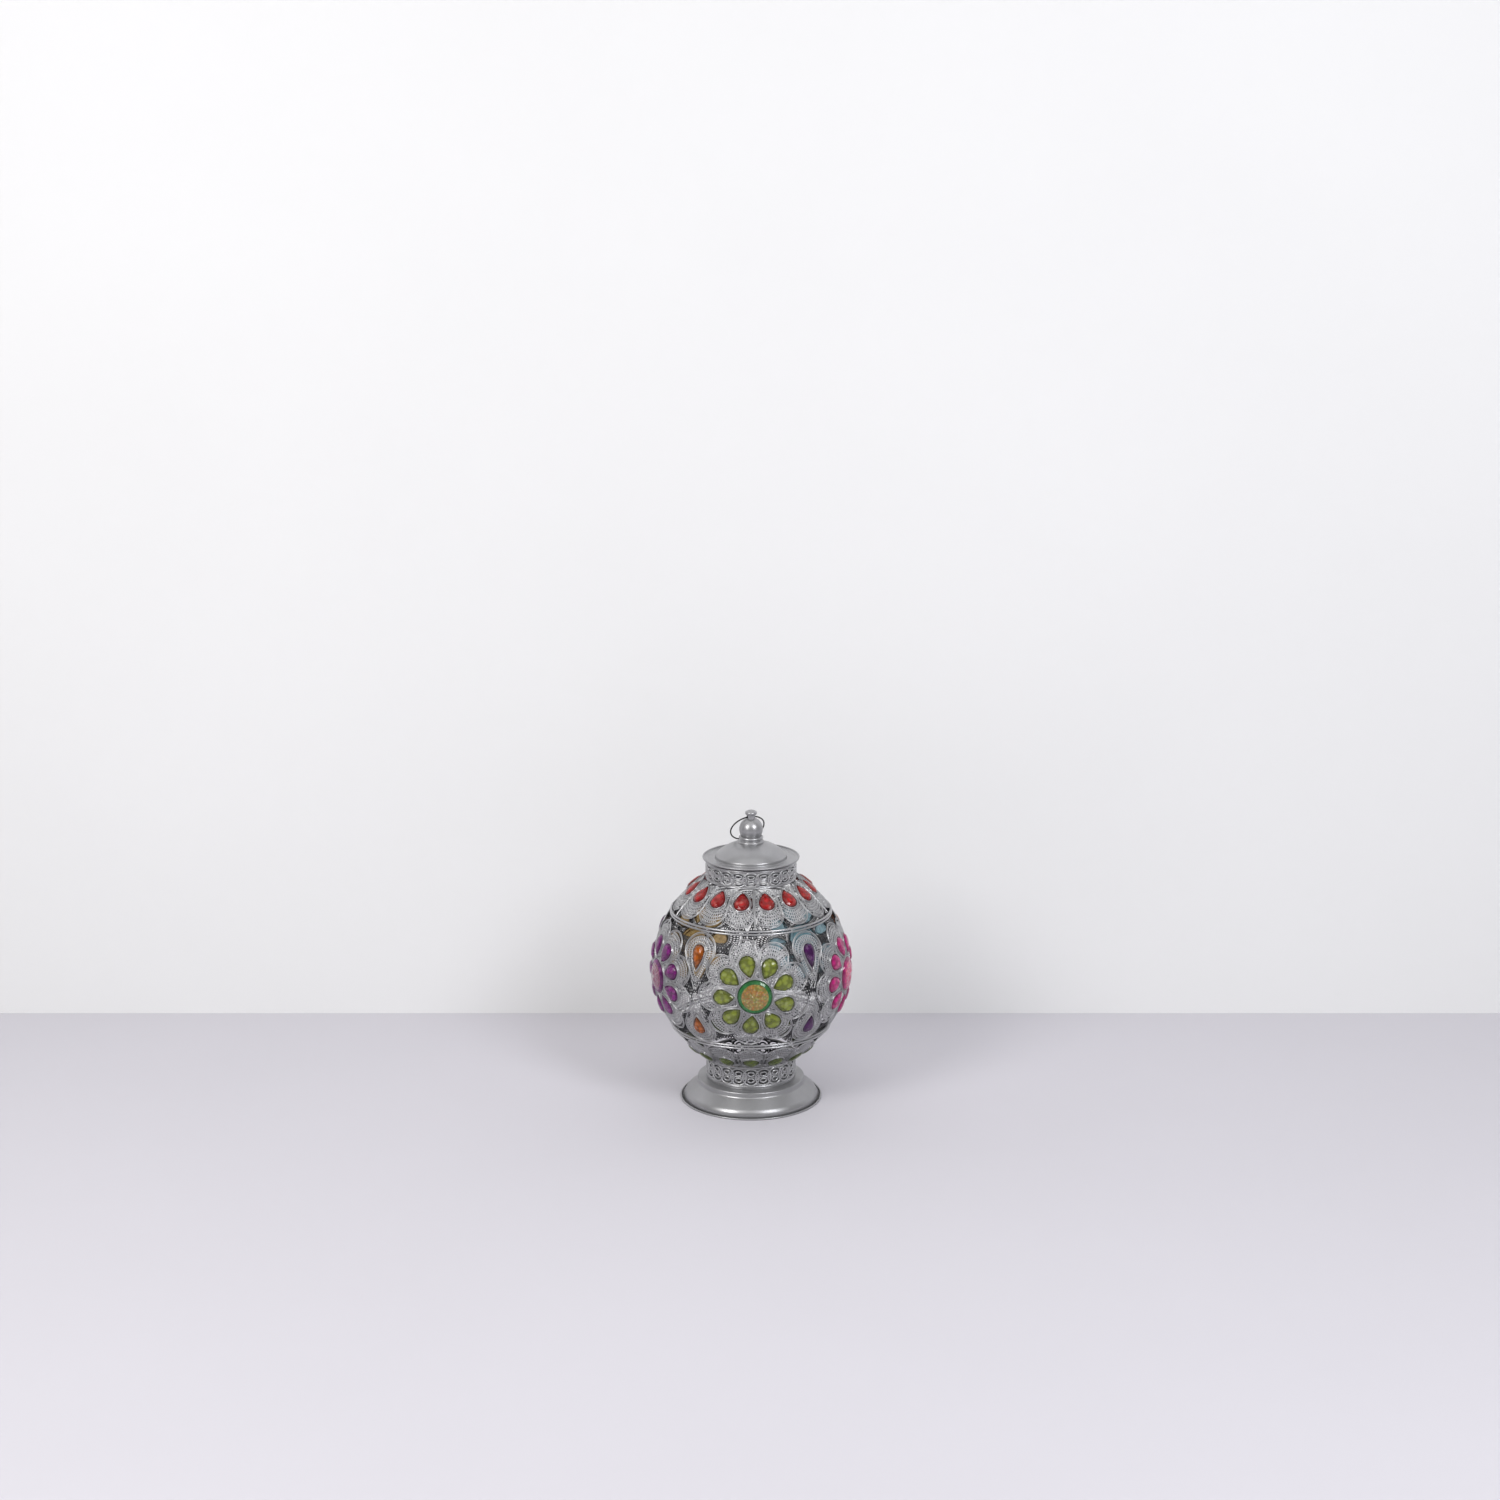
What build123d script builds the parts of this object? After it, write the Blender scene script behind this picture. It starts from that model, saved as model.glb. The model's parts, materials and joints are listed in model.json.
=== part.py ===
from build123d import *
import math
import os

# Pierced metal globe lantern with coloured stones, a spun foot, a lift-off lid and a hanging ring.
# Millimetres, +Z up. The origin is the centre of the foot's underside, and the front is at -Y.

# ---- driving dimensions ---------------------------------------------------------------------

SIDES = 5                      # flowers round the globe, and segments in each sloping section
SHEET = 1.0                    # pierced sheet
CLEARANCE = 0.3                # between the lid and the lantern it lifts off

# foot
FOOT_R = 70.6                  # centre of the rolled edge
FOOT_BEAD_R = 1.2
FLOOR_WALL = 0.8
SKIRT_BELLY_IN = 5.4           # the skirt is fullest this far inside the rolled edge
SKIRT_BELLY_Z = 7.6
SKIRT_RUN = 2.4                # from the shoulder out to the top of the skirt
SKIRT_TOP_Z = 17.0
SHELF_W = 8.2                  # from the collar out to the shoulder
SHOULDER_Z = 21.9
PLUG_Z = 22.7                  # where the shelf meets the plug that carries the collar
DECK_Z = 23.9                  # top of the foot
FOOT_BEND = 1.6
SKIRT_BEND = 8.0

# candle cup
CUP_R = 20.0                   # bore for a tealight
CUP_DEPTH = 12.0
CUP_WALL = 0.8
CUP_FLANGE = 6.5
RIVET_R = 1.2
RIVET_HEAD_R = 2.4
RIVET_HEAD = 1.2
RIVETS = 3

# collars
COLLAR_R = 44.3                # middle of the band
COLLAR_WIRE_R = 1.0
BOTTOM_COLLAR_H = 22.0
TOP_COLLAR_H = 19.0
COLLAR_UNITS = 22
OVAL_W = 5.6
OVAL_H = 3.6

# globe
GLOBE_R = 98.3                 # middle of the pierced sheet
SEAM_DROP = 57.0               # from the globe's centre to its edge wires
SEAM_WIRE_R = 1.3
SEAM_GAP = 0.3                 # between the two wires of a seam
SLOPE_INSET = 1.8              # a sloping section ends this far inside the seam
SLOPE_H = 31.0
SLOPE_BULGE = 1.8
BOTTOM_SLOPE_GAP = 1.4         # from the collar's edge wire to the sloping section
STRUT_DEG = 1.8
STRUT_WALL = 2.0
UPPER_TURN = 39.0              # the upper section is turned by this, in degrees

# flowers and leaves
LOBES = 9
LOBE_START = 27.0              # clockwise from straight up
GLOBE_TURN = 2.2               # the globe is turned on the lower section by this, in degrees
LOBE_R = 17.5
LEAF_R = 13.5
LEAF_LEN = 28.5
HOLE_R = 1.2

# stones: radius of the round end, and from its centre to the tip
BEZEL_WALL = 0.8
BEZEL_PROUD = 1.8
STONE_SINK = 1.2
CENTRE_STONE_R = 17.0
CENTRE_STONE_CROWN = 4.5
PETAL_R = 8.2
PETAL_TIP = 13.6
PETAL_GAP = 1.57               # between a petal's setting and the centre stone's
PETAL_CROWN = 3.6
ACCENT_R = 6.4
UPPER_ACCENT_TIP = 18.0
LOWER_ACCENT_TIP = 14.2
UPPER_ACCENT_AT = 40.0
LOWER_ACCENT_AT = 41.0
ACCENT_CROWN = 3.2
SLOPE_STONE_R = 7.7
SLOPE_STONE_TIP = 13.3
SLOPE_STONE_AT = 0.40          # along the section, from the collar
SLOPE_STONE_CROWN = 3.4

# lid
LID_WALL = 1.0
LID_OVERHANG = 0.7             # the flange is flat out to this far beyond the collar
LID_RIM_RUN = 2.5
LID_RIM_RISE = 1.6
LID_BEAD_R = 0.9
DOME_INSET = 8.4               # from the lip in to where the dome meets the flange
DOME_FOOT_RISE = 3.2
DOME_FILLET = 1.6
DOME_RISE = 18.4
LIP_H = 8.0
LIP_WALL = 0.8

# finial and ring
FINIAL_FOOT_R = 13.0
FINIAL_FOOT_H = 7.6
FINIAL_STEP_R = 12.2
BALL_R = 11.8
BALL_RISE = 12.0               # from the dome's apex to the ball's centre
NECK_R = 4.3
HOLE_RISE = 24.8               # from the dome's apex to the ring's hole
CAP_RISE = 26.9
CAP_R = 5.9
CAP_H = 4.9
RING_HOLE_R = 1.7
RING_R = 17.4
RING_WIRE_R = 0.7
RING_TURN = 21.3               # the hole's direction, in degrees from +X
STUD_R = 2.0
STUD_H = 6.0
NUT_R = 4.0
NUT_H = 2.5
WASHER_R = 5.0
WASHER_H = 0.8

# ---- worked out from them -------------------------------------------------------------------

SECTOR = 360 / SIDES
STONES_PER_SIDE = 3
BOTTOM_COLLAR_Z = DECK_Z
BOTTOM_COLLAR_TOP = BOTTOM_COLLAR_Z + BOTTOM_COLLAR_H
BOTTOM_SLOPE_Z = BOTTOM_COLLAR_TOP + CLEARANCE
SEAM_R = math.sqrt(GLOBE_R**2 - SEAM_DROP**2)
SLOPE_R = SEAM_R - SLOPE_INSET
SHOULDER_R = COLLAR_R + SHELF_W
SKIRT_TOP_R = SHOULDER_R + SKIRT_RUN
PETAL_AT = CENTRE_STONE_R + BEZEL_WALL + PETAL_TIP * (1 + BEZEL_WALL / PETAL_R) + PETAL_GAP
SEAM_PITCH = 2 * SEAM_WIRE_R + SEAM_GAP
LOBE_AT = SEAM_DROP - SEAM_WIRE_R - LOBE_R
LEAF_AT = SEAM_DROP - SEAM_WIRE_R - LEAF_R
GLOBE_Z = BOTTOM_SLOPE_Z + SLOPE_H + BOTTOM_SLOPE_GAP + SEAM_PITCH + SEAM_DROP
TOP_SLOPE_Z = GLOBE_Z + SEAM_DROP + SEAM_PITCH + BOTTOM_SLOPE_GAP
TOP_COLLAR_Z = TOP_SLOPE_Z + SLOPE_H - CLEARANCE
TOP_COLLAR_TOP = TOP_COLLAR_Z + TOP_COLLAR_H
SLOPE_COLLAR_R = COLLAR_R + COLLAR_WIRE_R
LID_SEAT_Z = TOP_COLLAR_TOP + CLEARANCE
LIP_R = COLLAR_R - COLLAR_WIRE_R - CLEARANCE - 0.1
DOME_R = LIP_R - DOME_INSET
LID_SEAT_R = COLLAR_R + LID_OVERHANG
LID_RIM_R = LID_SEAT_R + LID_RIM_RUN
APEX_Z = LID_SEAT_Z + DOME_RISE
DOME_EDGE_Z = LID_SEAT_Z + DOME_FOOT_RISE
DOME_SAG = APEX_Z - DOME_EDGE_Z
DOME_BALL_R = (DOME_R**2 + DOME_SAG**2) / (2 * DOME_SAG)
DOME_BALL_Z = APEX_Z - DOME_BALL_R
RING_Z = APEX_Z + HOLE_RISE


def ring_lean():
    """The ring's angle from straight down where it rests on the dome, in degrees."""
    reach = 2 * RING_R
    rise = RING_Z - DOME_BALL_Z
    touch = DOME_BALL_R + RING_WIRE_R + CLEARANCE
    return math.degrees(math.acos((reach**2 + rise**2 - touch**2) / (2 * reach * rise)))


# ---- helpers --------------------------------------------------------------------------------


def spin(face, arc=360.0):
    """Turns a face drawn in (radius, height) round the vertical axis."""
    return revolve(Plane.XZ * face, Axis.Z, revolution_arc=arc)


def ring_wire(radius, height, wire):
    """A closed wire ring round the axis."""
    return spin(Pos(radius, height) * Circle(wire))


def tube(inner, outer, low, high):
    """A plain band round the axis."""
    return Pos(0, 0, low) * extrude(Circle(outer) - Circle(inner), high - low)


def tear(radius, tip):
    """A drop outline: a round end about the origin, and straight sides to a tip at +Y."""
    lean = math.acos(radius / tip)
    side_x, side_y = radius * math.sin(lean), radius * math.cos(lean)
    left, right, point = (-side_x, side_y), (side_x, side_y), (0, tip)
    return make_face([ThreePointArc(left, (0, -radius), right), Line(right, point), Line(point, left)])


def tear_offset(radius, tip, grow):
    """The same drop, grown evenly."""
    return tear(radius + grow, tip * (radius + grow) / radius)


def slab(outline, low, high):
    """A flat-ended block of an outline."""
    return Pos(0, 0, low) * extrude(outline, high - low)


def stone(outline, half_length, crown, shift=0.0):
    """A cabochon: the outline's block under a low dome that is centred a little towards the tip."""
    drop = STONE_SINK + crown - 1.0
    ball = (half_length**2 + drop**2) / (2 * drop)
    return slab(outline, -STONE_SINK, crown + 1) & (Pos(0, shift, crown - ball) * Sphere(ball))


def fused(solids):
    """Separate solids kept together in one node."""
    return Compound(children=list(solids))


def round_axis(shape, count, start=0.0):
    """Evenly spaced copies round the vertical axis."""
    return [shape.rotate(Axis.Z, start + k * 360 / count) for k in range(count)]


def globe_place(clock, arc, sector=0.0):
    """A place on the globe's outer face: arc mm from a flower's centre, towards a clock angle.

    Local +Z is outwards and local +Y is away from the flower's centre.
    """
    turn, bend = math.radians(clock), arc / GLOBE_R
    away = Vector(math.sin(turn), 0, math.cos(turn))
    outwards = Vector(0, -1, 0) * math.cos(bend) + away * math.sin(bend)
    along = away * math.cos(bend) - Vector(0, -1, 0) * math.sin(bend)
    place = Plane(
        origin=Vector(0, 0, GLOBE_Z) + outwards * (GLOBE_R + SHEET / 2),
        x_dir=along.cross(outwards),
        z_dir=outwards,
    )
    return Rot(0, 0, sector) * place.location


def slope_line(bottom):
    """The middle of a sloping section, drawn in (radius, height) from the collar outwards."""
    sign = 1 if bottom else -1
    z_in = BOTTOM_SLOPE_Z if bottom else TOP_SLOPE_Z + SLOPE_H
    start = Vector(SLOPE_COLLAR_R, z_in)
    end = Vector(SLOPE_R, z_in + sign * SLOPE_H)
    out = Vector(SLOPE_H, -sign * (SLOPE_R - SLOPE_COLLAR_R)).normalized()
    middle = (start + end) / 2 + out * SLOPE_BULGE
    return ThreePointArc(start, middle, end)


def slope_place(bottom, at, turn):
    """A place on a sloping section's outer face. Local +Y points at the collar."""
    line = slope_line(bottom)
    point, along = line @ at, line % at
    out = Vector(along.Y, -along.X) * (1 if bottom else -1)
    origin = point + out * (SHEET / 2)
    collar_wards = Vector(0, along.X, -along.Y)
    outwards = Vector(0, -out.X, out.Y)
    place = Plane(
        origin=(0, -origin.X, origin.Y), x_dir=collar_wards.cross(outwards), z_dir=outwards
    )
    return Rot(0, 0, turn) * place.location


def slope_section(bottom, wall, low_deg, high_deg):
    """Part of a sloping section between two directions, measured from the front."""
    line = slope_line(bottom)
    side = [line.position_at(t) for t in (0, 0.5, 1)]
    normal = [Vector(line.tangent_at(t).Y, -line.tangent_at(t).X) for t in (0, 0.5, 1)]
    one = [p + n * (wall / 2) for p, n in zip(side, normal)]
    two = [p - n * (wall / 2) for p, n in zip(side, normal)]
    face = make_face(
        [ThreePointArc(*one), Line(one[2], two[2]), ThreePointArc(*two), Line(two[0], one[0])]
    )
    return spin(face, high_deg - low_deg).rotate(Axis.Z, low_deg - 90)


def crown_arc(radius, low, rise):
    """Half the outline of a dome about the axis, from its apex down to its edge."""
    ball = (radius**2 + rise**2) / (2 * rise)
    bend = math.asin(radius / ball) / 2
    middle = (ball * math.sin(bend), low + rise - ball * (1 - math.cos(bend)))
    return ThreePointArc((0, low + rise), middle, (radius, low))


def bent_sheet(line, wall, side=Side.RIGHT):
    """The cross-section of a bent sheet, from the line of its outer face, with square ends."""
    return make_face(Wire(line.edges()).offset_2d(wall, side=side, closed=True))


# ---- foot -----------------------------------------------------------------------------------


def rivet_place():
    return Pos(0, CUP_R + CUP_WALL + CUP_FLANGE / 2, DECK_Z)


def base_shell():
    """Spun in one piece from the rolled edge up to the deck that carries the cup and the collar."""
    edge = FOOT_R - FOOT_BEAD_R
    plug = COLLAR_R
    points = [
        (0, DECK_Z),
        (plug, DECK_Z),
        (plug, PLUG_Z),
        (SHOULDER_R, SHOULDER_Z),
        (SKIRT_TOP_R, SKIRT_TOP_Z),
        (FOOT_R - SKIRT_BELLY_IN, SKIRT_BELLY_Z),
        (edge, FLOOR_WALL),
    ]
    line = FilletPolyline(*points, radius=[0.5, 0.3, FOOT_BEND, FOOT_BEND, SKIRT_BEND])
    shell = spin(bent_sheet(line, SHEET)) - slab(Circle(FOOT_R), -SHEET, FLOOR_WALL)
    return shell - round_axis(rivet_place() * slab(Circle(RIVET_R), -2 * SHEET, 1), RIVETS)


def candle_cup():
    """A pressed cup with a flat flange that is riveted to the deck."""
    outer = CUP_R + CUP_WALL
    cup = slab(Circle(outer), DECK_Z, DECK_Z + CUP_WALL)
    cup += tube(CUP_R, outer, DECK_Z, DECK_Z + CUP_WALL + CUP_DEPTH)
    cup += tube(outer, outer + CUP_FLANGE, DECK_Z, DECK_Z + CUP_WALL)
    return cup - round_axis(rivet_place() * slab(Circle(RIVET_R), -1, 2), RIVETS)


def cup_rivets():
    shank = slab(Circle(RIVET_R), -SHEET, CUP_WALL)
    upper = slab(Circle(RIVET_HEAD_R), CUP_WALL, CUP_WALL + RIVET_HEAD)
    lower = slab(Circle(RIVET_HEAD_R), -SHEET - RIVET_HEAD, -SHEET)
    rivet = shank + fillet(upper.edges().filter_by(GeomType.CIRCLE).sort_by(Axis.Z)[-1:], RIVET_HEAD / 2)
    return fused(round_axis(rivet_place() * (rivet + lower), RIVETS))


def make_foot():
    return {
        "base_plate": slab(Circle(FOOT_R - FOOT_BEAD_R), 0, FLOOR_WALL),
        "base_rim": ring_wire(FOOT_R, FOOT_BEAD_R, FOOT_BEAD_R),
        "base_shell": base_shell(),
        "candle_cup": candle_cup(),
        "cup_rivets": cup_rivets(),
    }


# ---- collars --------------------------------------------------------------------------------


def collar(low, height):
    """A pierced band between two edge wires."""
    wire = 2 * COLLAR_WIRE_R
    band_low, band_high = low + wire, low + height - wire
    quarter = (band_high - band_low) / 4
    band = tube(COLLAR_R - SHEET / 2, COLLAR_R + SHEET / 2, band_low, band_high)
    oval = Rot(90, 0, 0) * slab(Ellipse(OVAL_W / 2, OVAL_H / 2), COLLAR_R - 5, COLLAR_R + 5)
    small = Rot(90, 0, 0) * slab(Circle(OVAL_H / 3), COLLAR_R - 5, COLLAR_R + 5)
    cuts = round_axis(Pos(0, 0, band_low + quarter) * oval, COLLAR_UNITS)
    cuts += round_axis(Pos(0, 0, band_high - quarter) * oval, COLLAR_UNITS)
    cuts += round_axis(Pos(0, 0, (band_low + band_high) / 2) * small, COLLAR_UNITS, 180 / COLLAR_UNITS)
    wires = [ring_wire(COLLAR_R, z, COLLAR_WIRE_R) for z in (low + wire / 2, low + height - wire / 2)]
    return band.cut(*cuts), fused(wires)


def make_collars():
    parts = {}
    for name, low, height in (
        ("bottom_collar", BOTTOM_COLLAR_Z, BOTTOM_COLLAR_H),
        ("top_collar", TOP_COLLAR_Z, TOP_COLLAR_H),
    ):
        parts[name], parts[name + "_wires"] = collar(low, height)
    return parts


# ---- sloping sections -----------------------------------------------------------------------


def make_section(bottom):
    """Five pierced segments between struts, each with three drop stones in bezels."""
    name = "lower" if bottom else "upper"
    turn = 0.0 if bottom else UPPER_TURN
    step = SECTOR / STONES_PER_SIDE
    turns = [k * step for k in range(-(STONES_PER_SIDE // 2), STONES_PER_SIDE // 2 + 1)]
    half = SECTOR / 2 - STRUT_DEG / 2
    places = [slope_place(bottom, SLOPE_STONE_AT, a) for a in turns]
    hole = slab(tear_offset(SLOPE_STONE_R, SLOPE_STONE_TIP, BEZEL_WALL), -9, 9)
    cuts = [place * hole for place in places]
    pin = slab(Circle(HOLE_R), -5, 5)
    for a in turns:
        for side in (-0.62, -0.35, 0, 0.35, 0.62):
            at = 0.80 - 0.12 * abs(side)
            cuts.append(slope_place(bottom, at, a + side * step / 2) * pin)
    gap = slab(Triangle(a=7, b=7, c=7), -5, 5)
    for a in turns[:-1]:
        cuts.append(slope_place(bottom, 0.91, a + step / 2) * gap)
    panel = slope_section(bottom, SHEET, -half, half).cut(*cuts)
    strut = slope_section(bottom, STRUT_WALL, SECTOR / 2 - STRUT_DEG / 2, SECTOR / 2 + STRUT_DEG / 2)
    bezel = slab(
        tear_offset(SLOPE_STONE_R, SLOPE_STONE_TIP, BEZEL_WALL) - tear(SLOPE_STONE_R, SLOPE_STONE_TIP),
        -STONE_SINK - SHEET / 2,
        BEZEL_PROUD,
    )
    drop = stone(tear(SLOPE_STONE_R, SLOPE_STONE_TIP), SLOPE_STONE_TIP, SLOPE_STONE_CROWN, 2.0)
    z_wire = GLOBE_Z + (-1 if bottom else 1) * (SEAM_DROP + SEAM_PITCH)
    parts = {
        f"{name}_panel_{k + 1}": shape
        for k, shape in enumerate(round_axis(panel, SIDES, turn))
    }
    parts[f"{name}_struts"] = fused(round_axis(strut, SIDES, turn))
    parts[f"{name}_bezels"] = fused(round_axis(places[0] * bezel, SIDES * STONES_PER_SIDE, turn))
    parts[f"{name}_stones"] = fused(round_axis(places[0] * drop, SIDES * STONES_PER_SIDE, turn))
    parts[f"{name}_section_wire"] = ring_wire(SEAM_R - 0.4, z_wire, SEAM_WIRE_R)
    return parts


# ---- globe ----------------------------------------------------------------------------------


def globe_skin():
    centre = Pos(0, 0, GLOBE_Z)
    return centre * (Sphere(GLOBE_R + SHEET / 2) - Sphere(GLOBE_R - SHEET / 2))


def flower_block():
    """Everything in front of the flower's outline: nine round lobes about a disc."""
    outline = Circle(LOBE_AT)
    for k in range(LOBES):
        clock = math.radians(LOBE_START + k * 360 / LOBES)
        outline += Pos(LOBE_AT * math.sin(clock), LOBE_AT * math.cos(clock)) * Circle(LOBE_R)
    return Pos(0, 0, GLOBE_Z) * Rot(90, 0, 0) * slab(outline, GLOBE_R / 4, GLOBE_R * 1.1)


def leaf_block(side):
    """Everything in front of a leaf, between two flowers above (1) or below (-1) the middle."""
    outline = Pos(0, side * LEAF_AT) * Rot(0, 0, 90 + side * 90) * tear(LEAF_R, LEAF_LEN)
    block = Pos(0, 0, GLOBE_Z) * Rot(90, 0, 0) * slab(outline, GLOBE_R / 4, GLOBE_R * 1.1)
    return block.rotate(Axis.Z, SECTOR / 2)


def petal_clocks():
    return [LOBE_START + k * 360 / LOBES for k in range(LOBES)]


def accent_spots():
    """For each leaf: its side, the stone's size and its height up the globe."""
    return ((1, UPPER_ACCENT_TIP, UPPER_ACCENT_AT), (-1, LOWER_ACCENT_TIP, LOWER_ACCENT_AT))


def accent_place(side, arc, sector):
    """A stone in a leaf, with its tip towards the globe's middle."""
    clock = 0 if side > 0 else 180
    return globe_place(clock, arc, sector) * Rot(0, 0, 180)


def make_globe():
    """Five flowers round the globe, with leaves above and below between each two."""
    skin = globe_skin()
    block = flower_block()
    petal_hole = slab(tear_offset(PETAL_R, PETAL_TIP, BEZEL_WALL), -9, 9)
    centre_hole = slab(Circle(CENTRE_STONE_R + BEZEL_WALL), -9, 9)
    pin = slab(Circle(HOLE_R), -5, 5)
    petals = [globe_place(clock, PETAL_AT) * Rot(0, 0, 180) for clock in petal_clocks()]
    centre = globe_place(0, 0)
    cuts = [centre * centre_hole] + [place * petal_hole for place in petals]
    for clock in petal_clocks():
        for side in (-12, -6, 0, 6, 12):
            cuts.append(globe_place(clock + side, 50 - abs(side) * 0.3) * pin)
    flower = (skin & block).cut(*cuts)

    neighbour = block.rotate(Axis.Z, SECTOR)
    leaves = []
    for side, tip, arc in accent_spots():
        leaf = (skin & leaf_block(side)).cut(block, neighbour)
        leaf = leaf.cut(
            accent_place(side, arc, SECTOR / 2) * slab(tear_offset(ACCENT_R, tip, BEZEL_WALL), -9, 9)
        )
        leaves += round_axis(max(leaf.solids(), key=lambda s: s.volume), SIDES, GLOBE_TURN)

    low = -STONE_SINK - SHEET / 2
    petal_bezel = slab(
        tear_offset(PETAL_R, PETAL_TIP, BEZEL_WALL) - tear(PETAL_R, PETAL_TIP), low, BEZEL_PROUD
    )
    centre_bezel = slab(
        Circle(CENTRE_STONE_R + BEZEL_WALL) - Circle(CENTRE_STONE_R), low - SHEET, BEZEL_PROUD
    )
    petal_stone = stone(tear(PETAL_R, PETAL_TIP), PETAL_TIP, PETAL_CROWN, 2.0)
    centre_stone = stone(Circle(CENTRE_STONE_R), CENTRE_STONE_R, CENTRE_STONE_CROWN)
    bezels = fused([centre * centre_bezel] + [place * petal_bezel for place in petals])
    petal_set = fused([place * petal_stone for place in petals])

    parts = {}
    for k, colour in enumerate(("green", "pink", "cyan", "amber", "purple")):
        turn = GLOBE_TURN + k * SECTOR
        parts[f"flower_panel_{colour}"] = flower.rotate(Axis.Z, turn)
        parts[f"flower_bezels_{colour}"] = bezels.rotate(Axis.Z, turn)
        parts[f"petal_stones_{colour}"] = petal_set.rotate(Axis.Z, turn)
        parts[f"centre_stone_{colour}"] = (centre * centre_stone).rotate(Axis.Z, turn)

    parts["accent_leaves"] = fused(leaves)
    bezels, stones = [], {"orange": [], "plum": [], "red": []}
    colours = ("plum", "orange", "red", "plum", "orange")
    for side, tip, arc in accent_spots():
        bezel = slab(tear_offset(ACCENT_R, tip, BEZEL_WALL) - tear(ACCENT_R, tip), low, BEZEL_PROUD)
        drop = stone(tear(ACCENT_R, tip), tip, ACCENT_CROWN, 2.0)
        for k, colour in enumerate(colours):
            place = accent_place(side, arc, GLOBE_TURN + SECTOR / 2 + k * SECTOR)
            bezels.append(place * bezel)
            stones[colour].append(place * drop)
    parts["accent_bezels"] = fused(bezels)
    for colour, group in stones.items():
        parts[f"accent_stones_{colour}"] = fused(group)
    edges = [ring_wire(SEAM_R, GLOBE_Z + side * SEAM_DROP, SEAM_WIRE_R) for side in (-1, 1)]
    parts["globe_edge_wires"] = fused(edges)
    return parts


# ---- lid, finial and ring -------------------------------------------------------------------


def dome_ball(inset=0.0):
    return Pos(0, 0, DOME_BALL_Z) * Sphere(DOME_BALL_R - inset)


def lid_shell():
    """A dome on a shallow dished flange with a rolled edge, with a hole for the finial's stud."""
    flange_z = LID_SEAT_Z + LID_WALL
    rim = (LID_RIM_R, flange_z + LID_RIM_RISE)
    dome = crown_arc(DOME_R, DOME_EDGE_Z, DOME_SAG)
    flange = FilletPolyline(
        dome @ 1, (DOME_R + DOME_FILLET, flange_z), (LID_SEAT_R, flange_z), rim, radius=DOME_FILLET
    )
    section = bent_sheet(Wire(dome.edges() + flange.edges()), LID_WALL)
    shell = spin(section) + ring_wire(rim[0], rim[1] - LID_WALL / 2, LID_BEAD_R)
    return shell - Pos(0, 0, APEX_Z) * Cylinder(STUD_R, 4 * LID_WALL)


def finial():
    """A turned foot, ball, neck and cap, with the stud that holds it to the dome."""
    foot_top = APEX_Z - 2.2 + FINIAL_FOOT_H
    ball_z = APEX_Z + BALL_RISE
    ball_low_r = math.sqrt(BALL_R**2 - (ball_z - foot_top) ** 2)
    ball_top_z = ball_z + math.sqrt(BALL_R**2 - NECK_R**2)
    cap_z = APEX_Z + CAP_RISE
    foot_z = APEX_Z - 2.6
    bead_r = FINIAL_FOOT_R - 1.4
    step_r = FINIAL_STEP_R - 0.4
    bead_top = (bead_r, foot_z + 3.6)
    step_low = (step_r, foot_z + 4.9)
    step_top = (FINIAL_STEP_R - 0.6, foot_top - 0.5)
    outline = [
        Line((0, foot_z), (bead_r, foot_z)),
        ThreePointArc((bead_r, foot_z), (FINIAL_FOOT_R, foot_z + 1.9), bead_top),
        ThreePointArc(bead_top, (FINIAL_FOOT_R - 1.9, foot_z + 4.3), step_low),
        ThreePointArc(step_low, (FINIAL_STEP_R, foot_z + 6.2), step_top),
        Line(step_top, (ball_low_r, foot_top)),
        ThreePointArc((ball_low_r, foot_top), (BALL_R, ball_z), (NECK_R, ball_top_z)),
        Line((NECK_R, ball_top_z), (NECK_R, cap_z)),
        Line((NECK_R, cap_z), (CAP_R - 0.8, cap_z)),
        ThreePointArc((CAP_R - 0.8, cap_z), (CAP_R, cap_z + 1.4), (CAP_R - 0.5, cap_z + 3.0)),
        crown_arc(CAP_R - 0.5, cap_z + 3.0, CAP_H - 3.0),
        Line((0, cap_z + CAP_H), (0, foot_z)),
    ]
    turned = spin(make_face(outline)) - dome_ball()
    hole = Pos(0, 0, RING_Z) * Rot(0, 0, RING_TURN) * Rot(0, 90, 0) * Cylinder(RING_HOLE_R, 4 * NECK_R)
    stud = slab(Circle(STUD_R), APEX_Z - STUD_H, APEX_Z + 1)
    return turned - hole + stud


def hanging_ring():
    """A closed wire ring through the neck, lying back on the dome."""
    ring = Pos(0, 0, -RING_R) * Rot(90, 0, 0) * Torus(RING_R, RING_WIRE_R)
    return Pos(0, 0, RING_Z) * Rot(0, 0, RING_TURN) * Rot(ring_lean(), 0, 0) * ring


def make_lid():
    washer_z = DOME_BALL_Z + math.sqrt((DOME_BALL_R - LID_WALL) ** 2 - WASHER_R**2) - WASHER_H
    nut = RegularPolygon(NUT_R, 6) - Circle(STUD_R)
    return {
        "lid_shell": lid_shell(),
        "lid_lip": tube(LIP_R - LIP_WALL, LIP_R, LID_SEAT_Z - LIP_H, LID_SEAT_Z),
        "finial": finial(),
        "finial_washer": tube(STUD_R, WASHER_R, washer_z, washer_z + WASHER_H),
        "finial_nut": slab(nut, washer_z - NUT_H, washer_z),
        "hanging_ring": hanging_ring(),
    }


# ---- write ----------------------------------------------------------------------------------


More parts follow.
